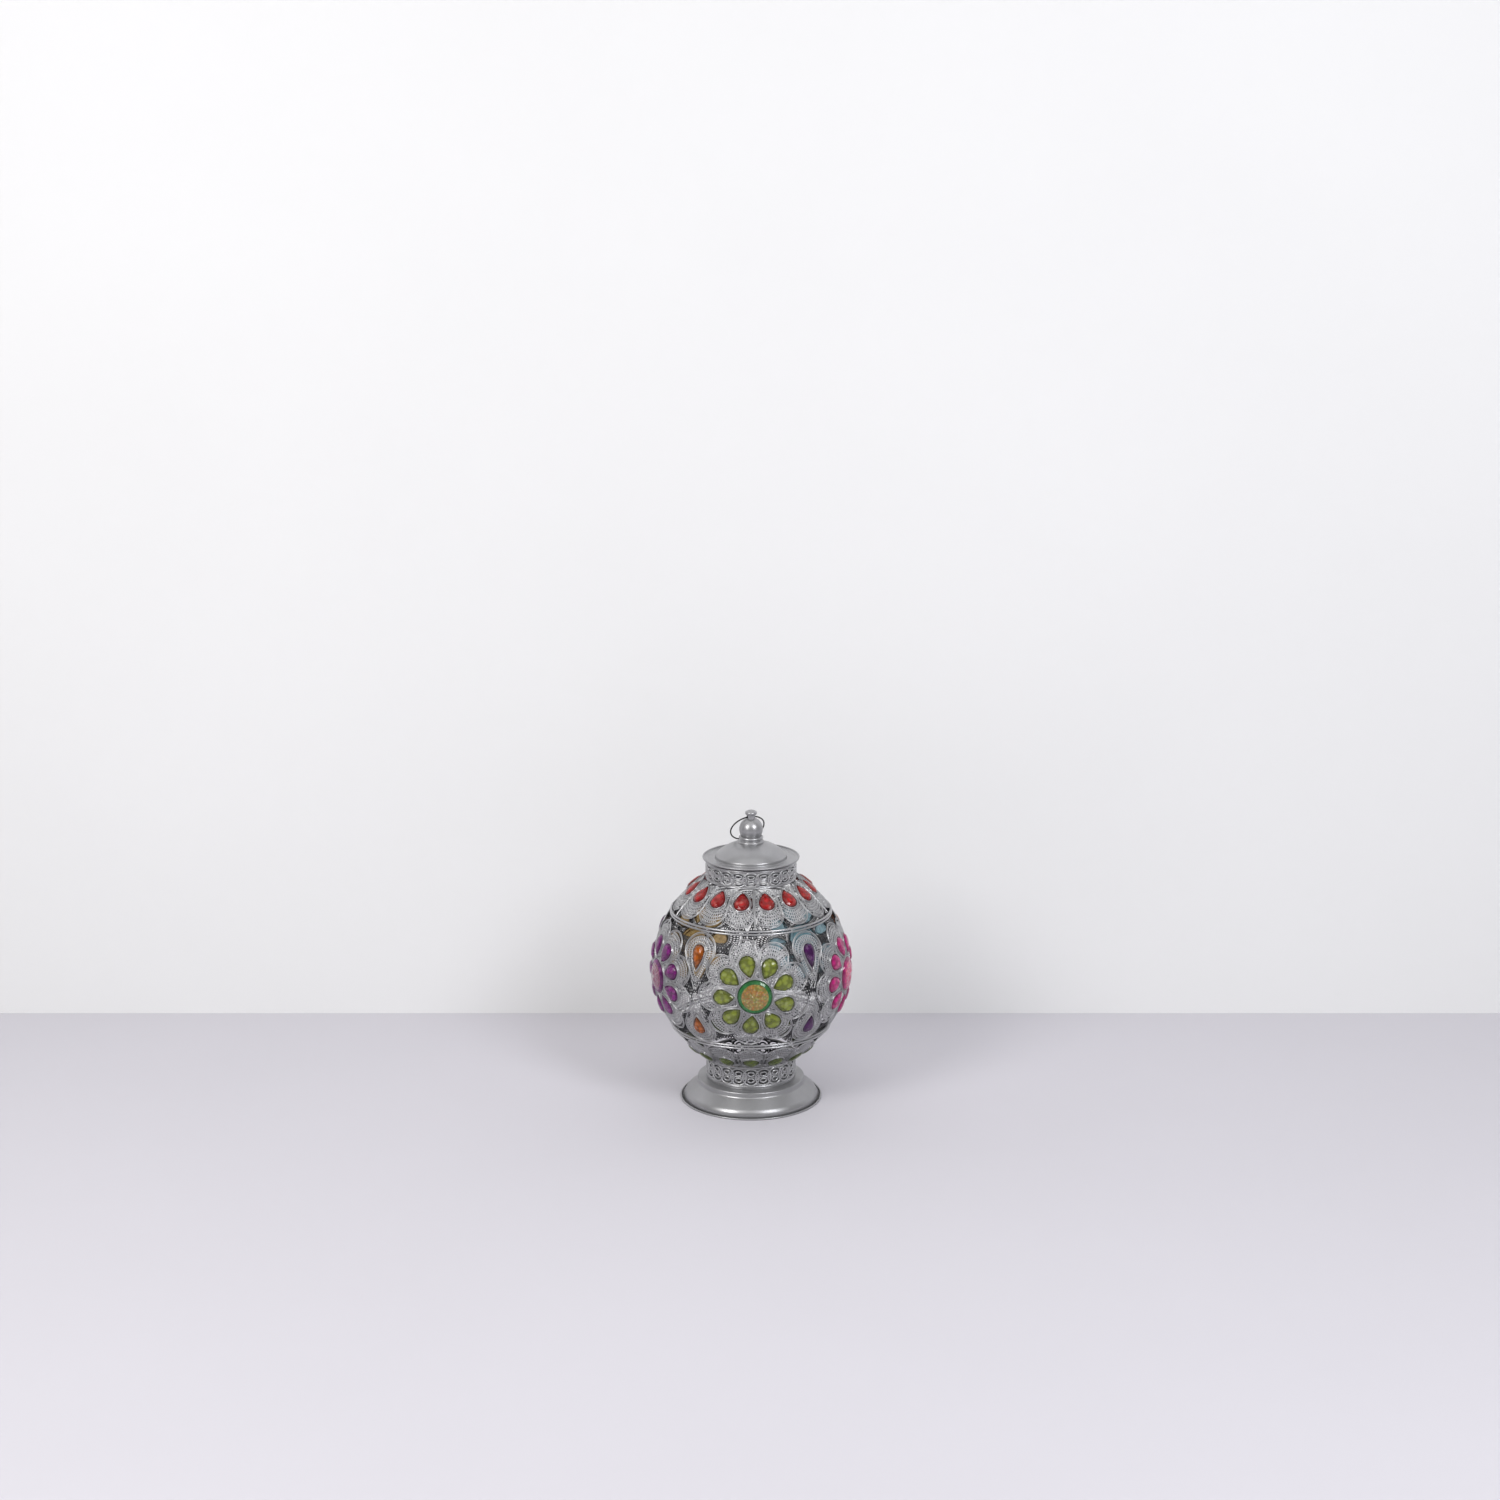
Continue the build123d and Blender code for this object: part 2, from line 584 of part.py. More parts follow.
def main():
    os.makedirs("parts", exist_ok=True)
    parts = {**make_foot(), **make_collars(), **make_section(True), **make_section(False)}
    parts.update(make_globe())
    parts.update(make_lid())
    for name, shape in parts.items():
        export_step(shape, f"parts/{name}.step")
    print(f"{len(parts)} parts, ring rests at {ring_lean():.1f} degrees")


main()
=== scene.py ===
import json
import math
from functools import partial

import bmesh
import bpy
import mathutils
import numpy as np
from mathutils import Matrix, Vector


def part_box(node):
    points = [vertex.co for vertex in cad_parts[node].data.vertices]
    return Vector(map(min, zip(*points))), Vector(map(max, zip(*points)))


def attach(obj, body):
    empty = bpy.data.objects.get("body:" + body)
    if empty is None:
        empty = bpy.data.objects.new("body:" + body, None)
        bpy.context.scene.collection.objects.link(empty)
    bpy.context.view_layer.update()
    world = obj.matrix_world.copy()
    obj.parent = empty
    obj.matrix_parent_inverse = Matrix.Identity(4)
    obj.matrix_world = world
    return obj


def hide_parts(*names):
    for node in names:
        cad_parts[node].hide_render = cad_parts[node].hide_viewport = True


bl_info = {
    "name": "Pierced Globe Lantern",
    "version": (1, 0, 0),
    "blender": (4, 5, 0),
    "location": "3D View > Sidebar > Lantern",
    "description": "Builds the filigree, stones and finishes of a pierced metal globe lantern",
    "category": "Add Mesh",
}

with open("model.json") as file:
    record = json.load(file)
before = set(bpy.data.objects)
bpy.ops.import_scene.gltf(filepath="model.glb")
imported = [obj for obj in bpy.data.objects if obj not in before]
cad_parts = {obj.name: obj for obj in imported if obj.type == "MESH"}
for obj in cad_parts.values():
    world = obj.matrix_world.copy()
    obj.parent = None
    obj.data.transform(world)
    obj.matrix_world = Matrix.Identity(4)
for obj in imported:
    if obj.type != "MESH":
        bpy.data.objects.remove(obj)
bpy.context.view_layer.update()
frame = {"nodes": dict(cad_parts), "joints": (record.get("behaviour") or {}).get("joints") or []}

MM = 0.001
BODY = "lantern"
LID = "lid"
RING = "ring"
COLOURS = ("green", "pink", "cyan", "amber", "purple")
SIDES = len(COLOURS)
SECTOR = 2 * math.pi / SIDES


def box_mm(node):
    """A node's lowest and highest corners, in millimetres."""
    low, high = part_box(node)
    return low / MM, high / MM


# ---- places read from the frame ---------------------------------------------------------------

EDGE_WIRE = 1.3                        # half the thickness of the globe's edge wires
COLLAR_WIRE = 1.0                      # and of the collars' wires
SHEET = 1.0                            # thickness of the sheet metal
ROLLED_EDGE = 0.9                      # half the thickness of the foot's and the lid's rolled edges

_low, _high = box_mm("globe_edge_wires")
GLOBE_Z = (_low.z + _high.z) / 2
SEAM_Z = _high.z - EDGE_WIRE - GLOBE_Z
SEAM_R = _high.x - EDGE_WIRE
GLOBE_R = math.hypot(SEAM_R, SEAM_Z)
SECTION_R = box_mm("upper_section_wire")[1].x - EDGE_WIRE
SECTION_Z = {s: sum(c.z for c in box_mm(s + "_section_wire")) / 2 for s in ("lower", "upper")}
COLLAR_R = box_mm("bottom_collar")[1].x - SHEET / 2
COLLAR_Z = {s: tuple(c.z for c in box_mm(s + "_collar")) for s in ("bottom", "top")}
FOOT_R = box_mm("base_rim")[1].x
FOOT_BEAD = box_mm("base_rim")[1].z / 2
DECK_Z = box_mm("base_shell")[1].z
LID_SEAT_Z = box_mm("lid_shell")[0].z
APEX_Z = box_mm("lid_shell")[1].z
LID_R = box_mm("lid_shell")[1].x
SWING = next(j for j in frame["joints"] if j["name"] == "ring_swing")
UPPER_TURN = math.radians(39)          # how far the upper section and the globe are turned
GLOBE_TURN = math.radians(2.2)
STONE_SINK = 1.2                       # how deep a stone goes below the sheet


# ---- settings a user would change -------------------------------------------------------------


def colour(label, about, value):
    return bpy.props.FloatVectorProperty(
        name=label, description=about, subtype="COLOR", size=3, min=0, max=1, default=value
    )


def length(label, about, value):
    return bpy.props.FloatProperty(
        name=label, description=about, default=value * MM, min=0, unit="LENGTH", precision=5
    )


class LaceSettings(bpy.types.PropertyGroup):
    """Sizes of the pierced metal."""

    loop_width: length("Loop width", "Width of one small loop of filigree", 2.15)
    loop_length: length("Loop length", "Length of one small loop of filigree", 3.5)
    loop_wire: length("Loop wire", "Thickness of the wire in a small loop", 1.0)
    row_pitch: length("Row pitch", "Distance from one row of loops to the next", 3.45)
    rim_wire: length("Rim wire", "Thickness of the wire round a lobe", 1.15)
    thread_wire: length("Thread wire", "Thickness of the wire between rows of loops", 0.55)
    bezel_wire: length("Bezel wire", "Thickness of the wire that holds a stone", 1.1)


class ColourSettings(bpy.types.PropertyGroup):
    """Colours of the metal and the stones."""

    silver: colour("Silver paint", "Satin silver of the spun parts", (0.37, 0.37, 0.38))
    filigree: colour("Filigree", "Silver of the pierced parts", (0.47, 0.47, 0.48))
    # painted shade: the near-black colour painted into the low recesses of the filigree
    recess_shade: colour("Recess Shade", "Painted shade low in the filigree", (0.03, 0.03, 0.033))
    green: colour("Green stones", "Petals of the front flower", (0.36, 0.43, 0.06))
    pink: colour("Pink stones", "Petals of the right flower", (0.90, 0.02, 0.32))
    cyan: colour("Cyan stones", "Petals of the right back flower", (0.62, 0.94, 1.0))
    amber: colour("Amber stones", "Petals of the left back flower", (1.0, 0.70, 0.30))
    purple: colour("Purple stones", "Petals of the left flower", (0.34, 0.012, 0.30))
    olive: colour("Olive stones", "Drops of the lower section", (0.22, 0.30, 0.04))
    red: colour("Red stones", "Drops of the upper section", (0.72, 0.008, 0.008))
    orange: colour("Orange stones", "Drops between the flowers", (0.66, 0.16, 0.01))
    plum: colour("Plum stones", "Drops between the flowers", (0.13, 0.008, 0.17))


class StageSettings(bpy.types.PropertyGroup):
    """The camera and the studio round the lantern."""

    camera_back: length("Camera distance", "From the lantern's axis to the camera", 2536)
    camera_high: length("Camera height", "From the floor to the camera", 983.8)
    camera_tilt: bpy.props.FloatProperty(
        name="Camera tilt", description="Downward tilt", default=math.radians(13.8), subtype="ANGLE"
    )
    lens: bpy.props.FloatProperty(
        name="Lens", description="Focal length in mm on a 36 mm sensor", default=63.6, min=1
    )
    wall_back: length("Wall distance", "From the lantern's axis to the wall", 247)


# ---- small geometry helpers, all in millimetres -----------------------------------------------


def arc_points(centre, radius, start, end, count):
    """Even points on an arc, both ends included."""
    turns = np.linspace(start, end, count)
    return np.stack([centre[0] + radius * np.cos(turns), centre[1] + radius * np.sin(turns)], 1)


def drop_outline(radius, tip, grow=0.0, count=40):
    """A drop round the origin with its tip at +Y, as a closed run of points.

    Its sides lie between straight and full, and a long drop has the fuller ones.
    """
    r = radius + grow
    t = tip * r / radius
    y = np.linspace(0, t, 30)
    slope = math.tan(math.asin(r / t))
    straight = np.where(y < r * r / t, np.sqrt(np.maximum(r * r - y * y, 0)), (t - y) * slope)
    sweep = (t * t + r * r) / (2 * r)
    full = np.sqrt(sweep**2 - y * y) - (sweep - r)
    belly = min(0.95, 0.3 * t / r)
    side = np.stack([straight * (1 - belly) + full * belly, y], 1)
    right = np.vstack([arc_points((0, 0), r, -math.pi / 2, 0, 24), side[1:]])
    run = np.vstack([(right * [-1, 1])[::-1], right[1:]])
    along = np.concatenate([[0], np.cumsum(np.linalg.norm(np.diff(run, axis=0), axis=1))])
    at = np.linspace(0, along[-1], count + 2)[1:-1]
    body = np.stack([np.interp(at, along, run[:, k]) for k in (0, 1)], 1)
    return np.vstack([body, [[0, t]]])


def lobe_outline(base_half, base_y, centre_y, radius, count=30):
    """A fan: straight sides that open from a narrow base to a round end, as an open run."""
    base = np.array([base_half, base_y])
    reach = base - np.array([0, centre_y])
    spread = math.acos(min(1.0, radius / np.linalg.norm(reach)))
    turn = math.atan2(reach[1], reach[0]) + spread
    body = arc_points((0, centre_y), radius, turn, math.pi - turn, count)
    return np.vstack([[base], body, [[-base_half, base_y]]])


def resample(points, step, closed=False):
    """Even points along a run, with the direction at each."""
    run = np.vstack([points, points[:1]]) if closed else points
    legs = np.linalg.norm(np.diff(run, axis=0), axis=1)
    along = np.concatenate([[0], np.cumsum(legs)])
    count = max(2, int(round(along[-1] / step)))
    at = np.linspace(0, along[-1], count + 1)
    at = at[:-1] + (at[1] - at[0]) / 2
    place = np.stack([np.interp(at, along, run[:, k]) for k in (0, 1)], 1)
    leg = np.clip(np.searchsorted(along, at) - 1, 0, len(legs) - 1)
    direction = np.diff(run, axis=0)[leg] / np.maximum(legs[leg], 1e-9)[:, None]
    return place, np.arctan2(direction[:, 1], direction[:, 0])


def inside(points, outline):
    """Which points lie inside a closed outline."""
    x, y = points[:, 0], points[:, 1]
    hit = np.zeros(len(points), bool)
    for a, b in zip(outline, np.roll(outline, -1, axis=0)):
        if a[1] == b[1]:
            continue
        crosses = (a[1] > y) != (b[1] > y)
        hit ^= crosses & (x < (b[0] - a[0]) * (y - a[1]) / (b[1] - a[1]) + a[0])
    return hit


def turned(points, clock, pivot=0.0):
    """Flat points turned clockwise, in radians, about a point this far below the origin."""
    c, s = math.cos(clock), math.sin(clock)
    return (points + [0, pivot]) @ np.array([[c, -s], [s, c]]) - [0, pivot]


# ---- geometry nodes ---------------------------------------------------------------------------


class Nodes:
    """A node tree under construction."""

    def __init__(self, tree):
        self.tree = tree

    def add(self, kind, values=None, **settings):
        """Adds a node, links or sets its inputs, and gives back its outputs."""
        node = self.tree.nodes.new(kind)
        for key, value in settings.items():
            setattr(node, key, value)
        for key, value in (values or {}).items():
            if isinstance(value, bpy.types.NodeSocket):
                self.tree.links.new(value, node.inputs[key])
            else:
                node.inputs[key].default_value = value
        return node.outputs


class Tree(Nodes):
    """A geometry node tree, which makes the shapes that repeat."""

    def __init__(self, name, inputs):
        super().__init__(bpy.data.node_groups.new(name, "GeometryNodeTree"))
        face = self.tree.interface
        face.new_socket(name="Geometry", in_out="INPUT", socket_type="NodeSocketGeometry")
        for label, kind, value in [*inputs, ("Material", "Material", None)]:
            socket = face.new_socket(name=label, in_out="INPUT", socket_type="NodeSocket" + kind)
            if value is not None:
                socket.default_value = value
        face.new_socket(name="Geometry", in_out="OUTPUT", socket_type="NodeSocketGeometry")
        self.start = self.tree.nodes.new("NodeGroupInput").outputs
        self.end = self.tree.nodes.new("NodeGroupOutput").inputs

    def value(self, name):
        """A number stored on each point."""
        return self.add("GeometryNodeInputNamedAttribute", {"Name": name})["Attribute"]

    def circle(self, resolution, radius):
        return self.add(
            "GeometryNodeCurvePrimitiveCircle", {"Resolution": resolution, "Radius": radius}
        )[0]

    def scaled(self, geometry, x, y):
        size = self.add("ShaderNodeCombineXYZ", {0: x, 1: y, 2: 1.0})[0]
        return self.add("GeometryNodeTransform", {"Geometry": geometry, "Scale": size})[0]

    def wire(self, curve, resolution, **settings):
        """A round wire, as thick as the input Wire, along a curve."""
        half = self.add("ShaderNodeMath", {0: self.start["Wire"], 1: 0.5}, operation="MULTIPLY")
        profile = {"Curve": curve, "Profile Curve": self.circle(resolution, half[0])}
        return self.add("GeometryNodeCurveToMesh", {**profile, **settings})[0]

    def on_points(self, shape):
        """Copies of a shape on the points, each turned and scaled by what its point says."""
        turn = self.add("ShaderNodeCombineXYZ", {2: self.value("turn")})
        spin = self.add("FunctionNodeEulerToRotation", {0: turn[0]})
        return self.add(
            "GeometryNodeInstanceOnPoints",
            {
                "Points": self.start["Geometry"],
                "Instance": shape,
                "Rotation": spin[0],
                "Scale": self.value("size"),
            },
        )[0]

    def close(self, geometry):
        """Realizes, smooths and gives the material, which every tree ends with."""
        real = self.add("GeometryNodeRealizeInstances", {"Geometry": geometry})[0]
        smooth = self.add("GeometryNodeSetShadeSmooth", {"Geometry": real})[0]
        material = {"Geometry": smooth, "Material": self.start["Material"]}
        done = self.add("GeometryNodeSetMaterial", material)[0]
        self.tree.links.new(done, self.end["Geometry"])
        return self.tree


def loops_tree():
    """Small wire loops on points."""
    sizes = [("Width", "Float", 2.0), ("Length", "Float", 3.5), ("Wire", "Float", 0.6)]
    t = Tree("Wire Loops", [*sizes, ("Around", "Int", 12)])
    oval = t.scaled(t.circle(t.start["Around"], 0.5), t.start["Width"], t.start["Length"])
    return t.close(t.on_points(t.wire(oval, 5)))


def wire_tree():
    """A round wire along every run of edges."""
    t = Tree("Bent Wire", [("Wire", "Float", 1.0), ("Round", "Int", 6)])
    run = t.add("GeometryNodeMeshToCurve", {"Mesh": t.start["Geometry"]})[0]
    return t.close(t.wire(run, t.start["Round"], **{"Fill Caps": True}))


def beads_tree():
    """Flattened solder beads on points."""
    t = Tree("Solder Beads", [("Radius", "Float", 1.2), ("Flatten", "Float", 0.7)])
    size = {"Segments": 14, "Rings": 9, "Radius": t.start["Radius"]}
    ball = t.add("GeometryNodeMeshUVSphere", size)[0]
    return t.close(t.on_points(t.scaled(ball, 1.0, t.start["Flatten"])))


def linked(name, data, place=(0, 0, 0), turn=(0, 0, 0)):
    """A new object in the scene."""
    obj = bpy.data.objects.new(name, data)
    obj.location = place
    obj.rotation_euler = turn
    bpy.context.scene.collection.objects.link(obj)
    return obj


def store(mesh, name, values):
    """Keeps a number for each point of a mesh."""
    attribute = mesh.attributes.new(name, "FLOAT", "POINT")
    attribute.data.foreach_set("value", np.asarray(values, np.float32))


def run_tree(tree, points, edges, values, numbers):
    """Runs a tree on bare points and edges, and gives the plain mesh it makes."""
    mesh = bpy.data.meshes.new("points")
    mesh.from_pydata([tuple(p) for p in points], edges, [])
    for name, data in numbers.items():
        store(mesh, name, data)
    obj = linked("points", mesh)
    modifier = obj.modifiers.new("Build", "NODES")
    modifier.node_group = tree
    for item in tree.interface.items_tree:
        if item.in_out == "INPUT" and item.name in values:
            modifier[item.identifier] = values[item.name]
    shape = obj.evaluated_get(bpy.context.evaluated_depsgraph_get())
    plain = bpy.data.meshes.new_from_object(shape)
    bpy.data.objects.remove(obj)
    bpy.data.meshes.remove(mesh)
    return plain


# ---- meshes and pieces ------------------------------------------------------------------------


def coords(mesh):
    """A mesh's points as rows of x, y, z."""
    co = np.empty(len(mesh.vertices) * 3, np.float32)
    mesh.vertices.foreach_get("co", co)
    return co.reshape(-1, 3).astype(float)


def set_coords(mesh, co):
    mesh.vertices.foreach_set("co", np.asarray(co, np.float32).ravel())
    mesh.update()


def mesh_of(bm, name, materials):
    """The mesh of a bmesh, which is freed."""
    mesh = bpy.data.meshes.new(name)
    bm.to_mesh(mesh)
    bm.free()
    for material in materials:
        mesh.materials.append(material)
    return mesh


def joined(meshes, name):
    """One mesh from several, keeping their materials."""
    whole = bmesh.new()
    materials = []
    for mesh in meshes:
        first = len(whole.faces)
        whole.from_mesh(mesh)
        whole.faces.ensure_lookup_table()
        slots = {}
        for k, material in enumerate(mesh.materials):
            if material not in materials:
                materials.append(material)
            slots[k] = materials.index(material)
        for face in whole.faces[first:]:
            face.material_index = slots.get(face.material_index, 0)
    result = mesh_of(whole, name, materials)
    for mesh in meshes:
        bpy.data.meshes.remove(mesh)
    return result


def piece(name, mesh, body, nodes=()):
    """A finished piece: its mesh in millimetres becomes an object that rides on a body."""
    set_coords(mesh, coords(mesh) * MM)
    mesh.name = name
    obj = linked(name, mesh)
    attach(obj, body)
    if nodes:
        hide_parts(*nodes)


def refinish(name, material):
    """Gives a CAD node its finish."""
    materials = frame["nodes"][name].data.materials
    materials.clear()
    materials.append(material)


def lathe(profile, material, segments=192):
    """A closed outline in (radius, height), turned round the axis. Points on the axis are poles."""
    bm = bmesh.new()
    rings = []
    turns = np.linspace(0, 2 * math.pi, segments, endpoint=False)
    for r, z in profile:
        if r < 1e-6:
            rings.append([bm.verts.new((0, 0, z))] * segments)
        else:
            rings.append([bm.verts.new((r * math.cos(a), r * math.sin(a), z)) for a in turns])
    for one, two in zip(rings, rings[1:] + rings[:1]):
        if one[0] is two[0] or (one[0] is one[1] and two[0] is two[1]):
            continue
        for k in range(segments):
            n = (k + 1) % segments
            corners = [one[k], one[n], two[n], two[k]]
            loop = [v for i, v in enumerate(corners) if v is not corners[i - 1]]
            bm.faces.new(loop)
    bmesh.ops.recalc_face_normals(bm, faces=bm.faces)
    for face in bm.faces:
        face.smooth = True
    return mesh_of(bm, "lathe", [material])


def rounded(points, radii, steps):
    """An open run with its inner corners rounded, each by its own radius."""
    pts = [np.array(p, float) for p in points]
    out = [pts[0]]
    for a, b, c, r in zip(pts, pts[1:], pts[2:], radii):
        back, on = a - b, c - b
        lb, lo = np.linalg.norm(back), np.linalg.norm(on)
        back, on = back / lb, on / lo
        half = math.acos(max(-1, min(1, float(back @ on)))) / 2
        cut = min(r / math.tan(half), lb * 0.49, lo * 0.49)
        for t in np.linspace(0, 1, steps + 1):
            out.append(b + back * cut * (1 - t) ** 2 + on * cut * t**2)
    out.append(pts[-1])
    return np.array(out)


def sheet_profile(line, wall):
    """A closed outline from a bent sheet's outer line, with its wall below or inside it."""
    step = np.gradient(line, axis=0)
    step /= np.linalg.norm(step, axis=1)[:, None]
    inner = line + np.stack([step[:, 1], -step[:, 0]], 1) * wall
    inner[:, 0] = np.maximum(inner[:, 0], 0)
    inner[line[:, 0] < 1e-6, 0] = 0
    return np.vstack([line, inner[::-1]])


def wire_ring(radius, z, wire, material, segments=220):
    """A closed wire round the axis."""
    section = arc_points((radius, z), wire, 0, 2 * math.pi, 13)[:-1]
    return lathe(section, material, segments)


def store_height(mesh):
    """Keeps each point's height over the sheet, so that the finish can paint shade on what lies
    low.
    """
    store(mesh, "height", coords(mesh)[:, 2])


# ---- lace: flat drawings of the pierced metal -------------------------------------------------


ROWS_END = 26                          # no row of loops starts further than this from a stone
ROW_GAP = 0.9                          # from a stone's bezel to the first row
LOOP_STEP = 1.06                       # from loop to loop along a row, in loop widths
LOOP_ROOM = 0.42                       # from a loop's middle to the rim, in loop lengths
THREAD_ROOM = 0.4
LOOP_POINTS = 12
WIRE_SIDES = 6


class Lace:
    """A flat drawing of filigree in millimetres: loops, wires and their heights."""

    def __init__(self, kit, finish="lace"):
        self.trees, self.material = kit["trees"], kit[finish]
        self.loops = {}
        self.wires = {}

    def add_loops(self, kind, points, turns, size=1.0, lift=0.0):
        """kind is (width, length, wire, points round the loop)."""
        rows = self.loops.setdefault(kind, [])
        sizes = np.broadcast_to(size, len(points))
        rows += [(x, y, lift, a, s) for (x, y), a, s in zip(points, turns, sizes)]

    def add_wire(self, points, wire, lift=0.0, closed=False):
        self.wires.setdefault(wire, []).append((points, lift, closed))

    def mesh(self):
        """The drawing as one flat mesh."""
        made = []
        for (width, long, wire, around), rows in self.loops.items():
            data = np.array(rows)
            sizes = {"Width": width, "Length": long, "Wire": wire, "Around": around}
            values = {**sizes, "Material": self.material}
            numbers = {"turn": data[:, 3], "size": data[:, 4]}
            made.append(run_tree(self.trees["loops"], data[:, :3], [], values, numbers))
        for wire, runs in self.wires.items():
            points, edges = [], []
            for run, lift, closed in runs:
                first = len(points)
                points += [(x, y, lift) for x, y in run]
                edges += [(k, k + 1) for k in range(first, len(points) - 1)]
                if closed:
                    edges.append((len(points) - 1, first))
            values = {"Wire": wire, "Round": WIRE_SIDES, "Material": self.material}
            made.append(run_tree(self.trees["wire"], points, edges, values, {}))
        flat = joined(made, "lace")
        store_height(flat)
        return flat


def fill_lobe(lace, sizes, stone, stone_y, outline, clock=0.0, half_angle=None, pivot=0.0):
    """Rows of loops round a stone, out to a lobe's rim, with threads between the rows.

    stone is its (radius, tip length). The lobe is turned clockwise about its pivot, and
    half_angle is half of the room it has there.
    """
    radius, tip = stone
    loop = (sizes["width"], sizes["length"], sizes["loop_wire"], LOOP_POINTS)
    centre = outline.mean(axis=0)
    spokes = outline - centre
    reach = np.linalg.norm(spokes, axis=1, keepdims=True)
    room = centre + spokes * (1 - sizes["length"] * LOOP_ROOM / reach)
    thread_room = centre + spokes * (1 - THREAD_ROOM / reach)

    def row(grow, step):
        drop = drop_outline(radius, tip, grow) * [1, -1] + [0, stone_y]
        return resample(drop, step, closed=True)

    def kept(points, bounds, edge):
        ok = inside(points, bounds)
        if half_angle:
            ok &= np.abs(points[:, 0]) < (points[:, 1] + pivot) * math.tan(half_angle) - edge
        return ok

    grow = sizes["bezel"] + ROW_GAP
    while grow < ROWS_END:
        place, along = row(grow + sizes["length"] / 2, sizes["width"] * LOOP_STEP)
        ok = kept(place, room, sizes["width"] * 0.4)
        if ok.any():
            lace.add_loops(loop, turned(place[ok], clock, pivot), along[ok] - clock)
        place, _ = row(grow - 0.1, 1.0)
        ok = kept(place, thread_room, 0.2)
        start = int(np.argmin(ok))
        run = []
        for k in [*np.roll(np.arange(len(ok)), -start), None]:
            if k is not None and ok[k]:
                run.append(place[k])
                continue
            if len(run) > 2:
                lace.add_wire(turned(np.array(run), clock, pivot), sizes["thread"], 0.25)
            run = []
        grow += sizes["pitch"]


def add_rim(lace, sizes, rim, inner, lift, inner_lift):
    """A lobe's bright rim wire with a thread inside it."""
    lace.add_wire(rim, sizes["rim"], lift)
    lace.add_wire(inner, sizes["thread"] * 1.2, inner_lift)


def lace_sizes(scene):
    """The filigree's sizes in millimetres."""
    s = scene.lantern_lace
    return {
        "width": s.loop_width / MM,
        "length": s.loop_length / MM,
        "loop_wire": s.loop_wire / MM,
        "pitch": s.row_pitch / MM,
        "rim": s.rim_wire / MM,
        "thread": s.thread_wire / MM,
        "bezel": s.bezel_wire / MM,
    }


# ---- wraps: from the flat drawing to the lantern ----------------------------------------------


def turn_z(co, angle):
    """Points turned about the lantern's axis."""
    c, s = math.cos(angle), math.sin(angle)
    return co @ np.array([[c, s, 0], [-s, c, 0], [0, 0, 1]])


def on_globe(co, spin=0.0, arc=0.0, roll=0.0):
    """Wraps flat points about a place on the globe's front.

    arc is how far up the globe that place is, in mm, and spin turns it round the lantern.
    """
    x, y, h = co.T
    c, s = math.cos(roll), math.sin(roll)
    x, y = x * c - y * s, x * s + y * c
    away = np.hypot(x, y)
    bend = away / GLOBE_R
    scale = np.where(away > 1e-9, np.sin(bend) / np.maximum(away, 1e-9), 1 / GLOBE_R)
    direction = np.stack([x * scale, -np.cos(bend), y * scale], 1)
    up = arc / GLOBE_R
    c, s = math.cos(up), math.sin(up)
    lifted = direction @ np.array([[1, 0, 0], [0, c, -s], [0, s, c]])
    placed = lifted * (GLOBE_R + h)[:, None] + [0, 0, GLOBE_Z]
    return turn_z(placed, spin + GLOBE_TURN)


SLOPE_BULGE = 1.8                      # how far a sloping section bows out
SLOPE_IN_R = COLLAR_R + COLLAR_WIRE
SLOPE_OUT_R = 78.3
SLOPE_RISE = 31.0
SLOPE_RUN = math.hypot(SLOPE_OUT_R - SLOPE_IN_R, SLOPE_RISE)
SLOPE_ANGLE = math.asin((SLOPE_OUT_R - SLOPE_IN_R) / SLOPE_RUN)
SLOPE_APEX = SLOPE_IN_R / math.sin(SLOPE_ANGLE)
SLOPE_Z = {
    "lower": COLLAR_Z["bottom"][1] + 2 * COLLAR_WIRE + 0.3,
    "upper": COLLAR_Z["top"][0] - 2 * COLLAR_WIRE + 0.3,
}
SLOPE_TURN = {"lower": 0.0, "upper": UPPER_TURN}


def on_slope(co, side, spin=0.0):
    """Wraps flat points on a sloping section: +Y runs from the collar to the seam."""
    x, y, h = co.T
    reach = SLOPE_APEX + y
    azimuth = np.arctan2(x, reach) / math.sin(SLOPE_ANGLE)
    out = np.hypot(x, reach) - SLOPE_APEX
    share = out / SLOPE_RUN
    bow = SLOPE_BULGE * 4 * share * (1 - share) + h
    radius = SLOPE_IN_R + out * math.sin(SLOPE_ANGLE) + bow * math.cos(SLOPE_ANGLE)
    drop = out * math.cos(SLOPE_ANGLE) - bow * math.sin(SLOPE_ANGLE)
    z = SLOPE_Z[side] + (drop if side == "lower" else -drop)
    placed = np.stack([radius * np.sin(azimuth), -radius * np.cos(azimuth), z], 1)
    return turn_z(placed, spin)


def on_band(co, z, radius, spin=0.0):
    """Wraps a flat strip round the axis: +X runs round, +Y up."""
    x, y, h = co.T
    azimuth = x / radius
    reach = radius + h
    placed = np.stack([reach * np.sin(azimuth), -reach * np.cos(azimuth), z + y], 1)
    return turn_z(placed, spin)


def wrapped(flat, place, mirrored=False):
    """A copy of a flat mesh with its points put in place."""
    mesh = flat.copy()
    set_coords(mesh, place(coords(mesh)))
    if mirrored:
        mesh.flip_normals()
    return mesh


def segment(flat, side, k, place=lambda co: co):
    """A copy of a flat piece wrapped on one segment of a sloping section."""
    spin = SLOPE_TURN[side] + k * SECTOR
    return wrapped(flat, lambda co: on_slope(place(co), side, spin), side == "upper")


# ---- finishes ---------------------------------------------------------------------------------


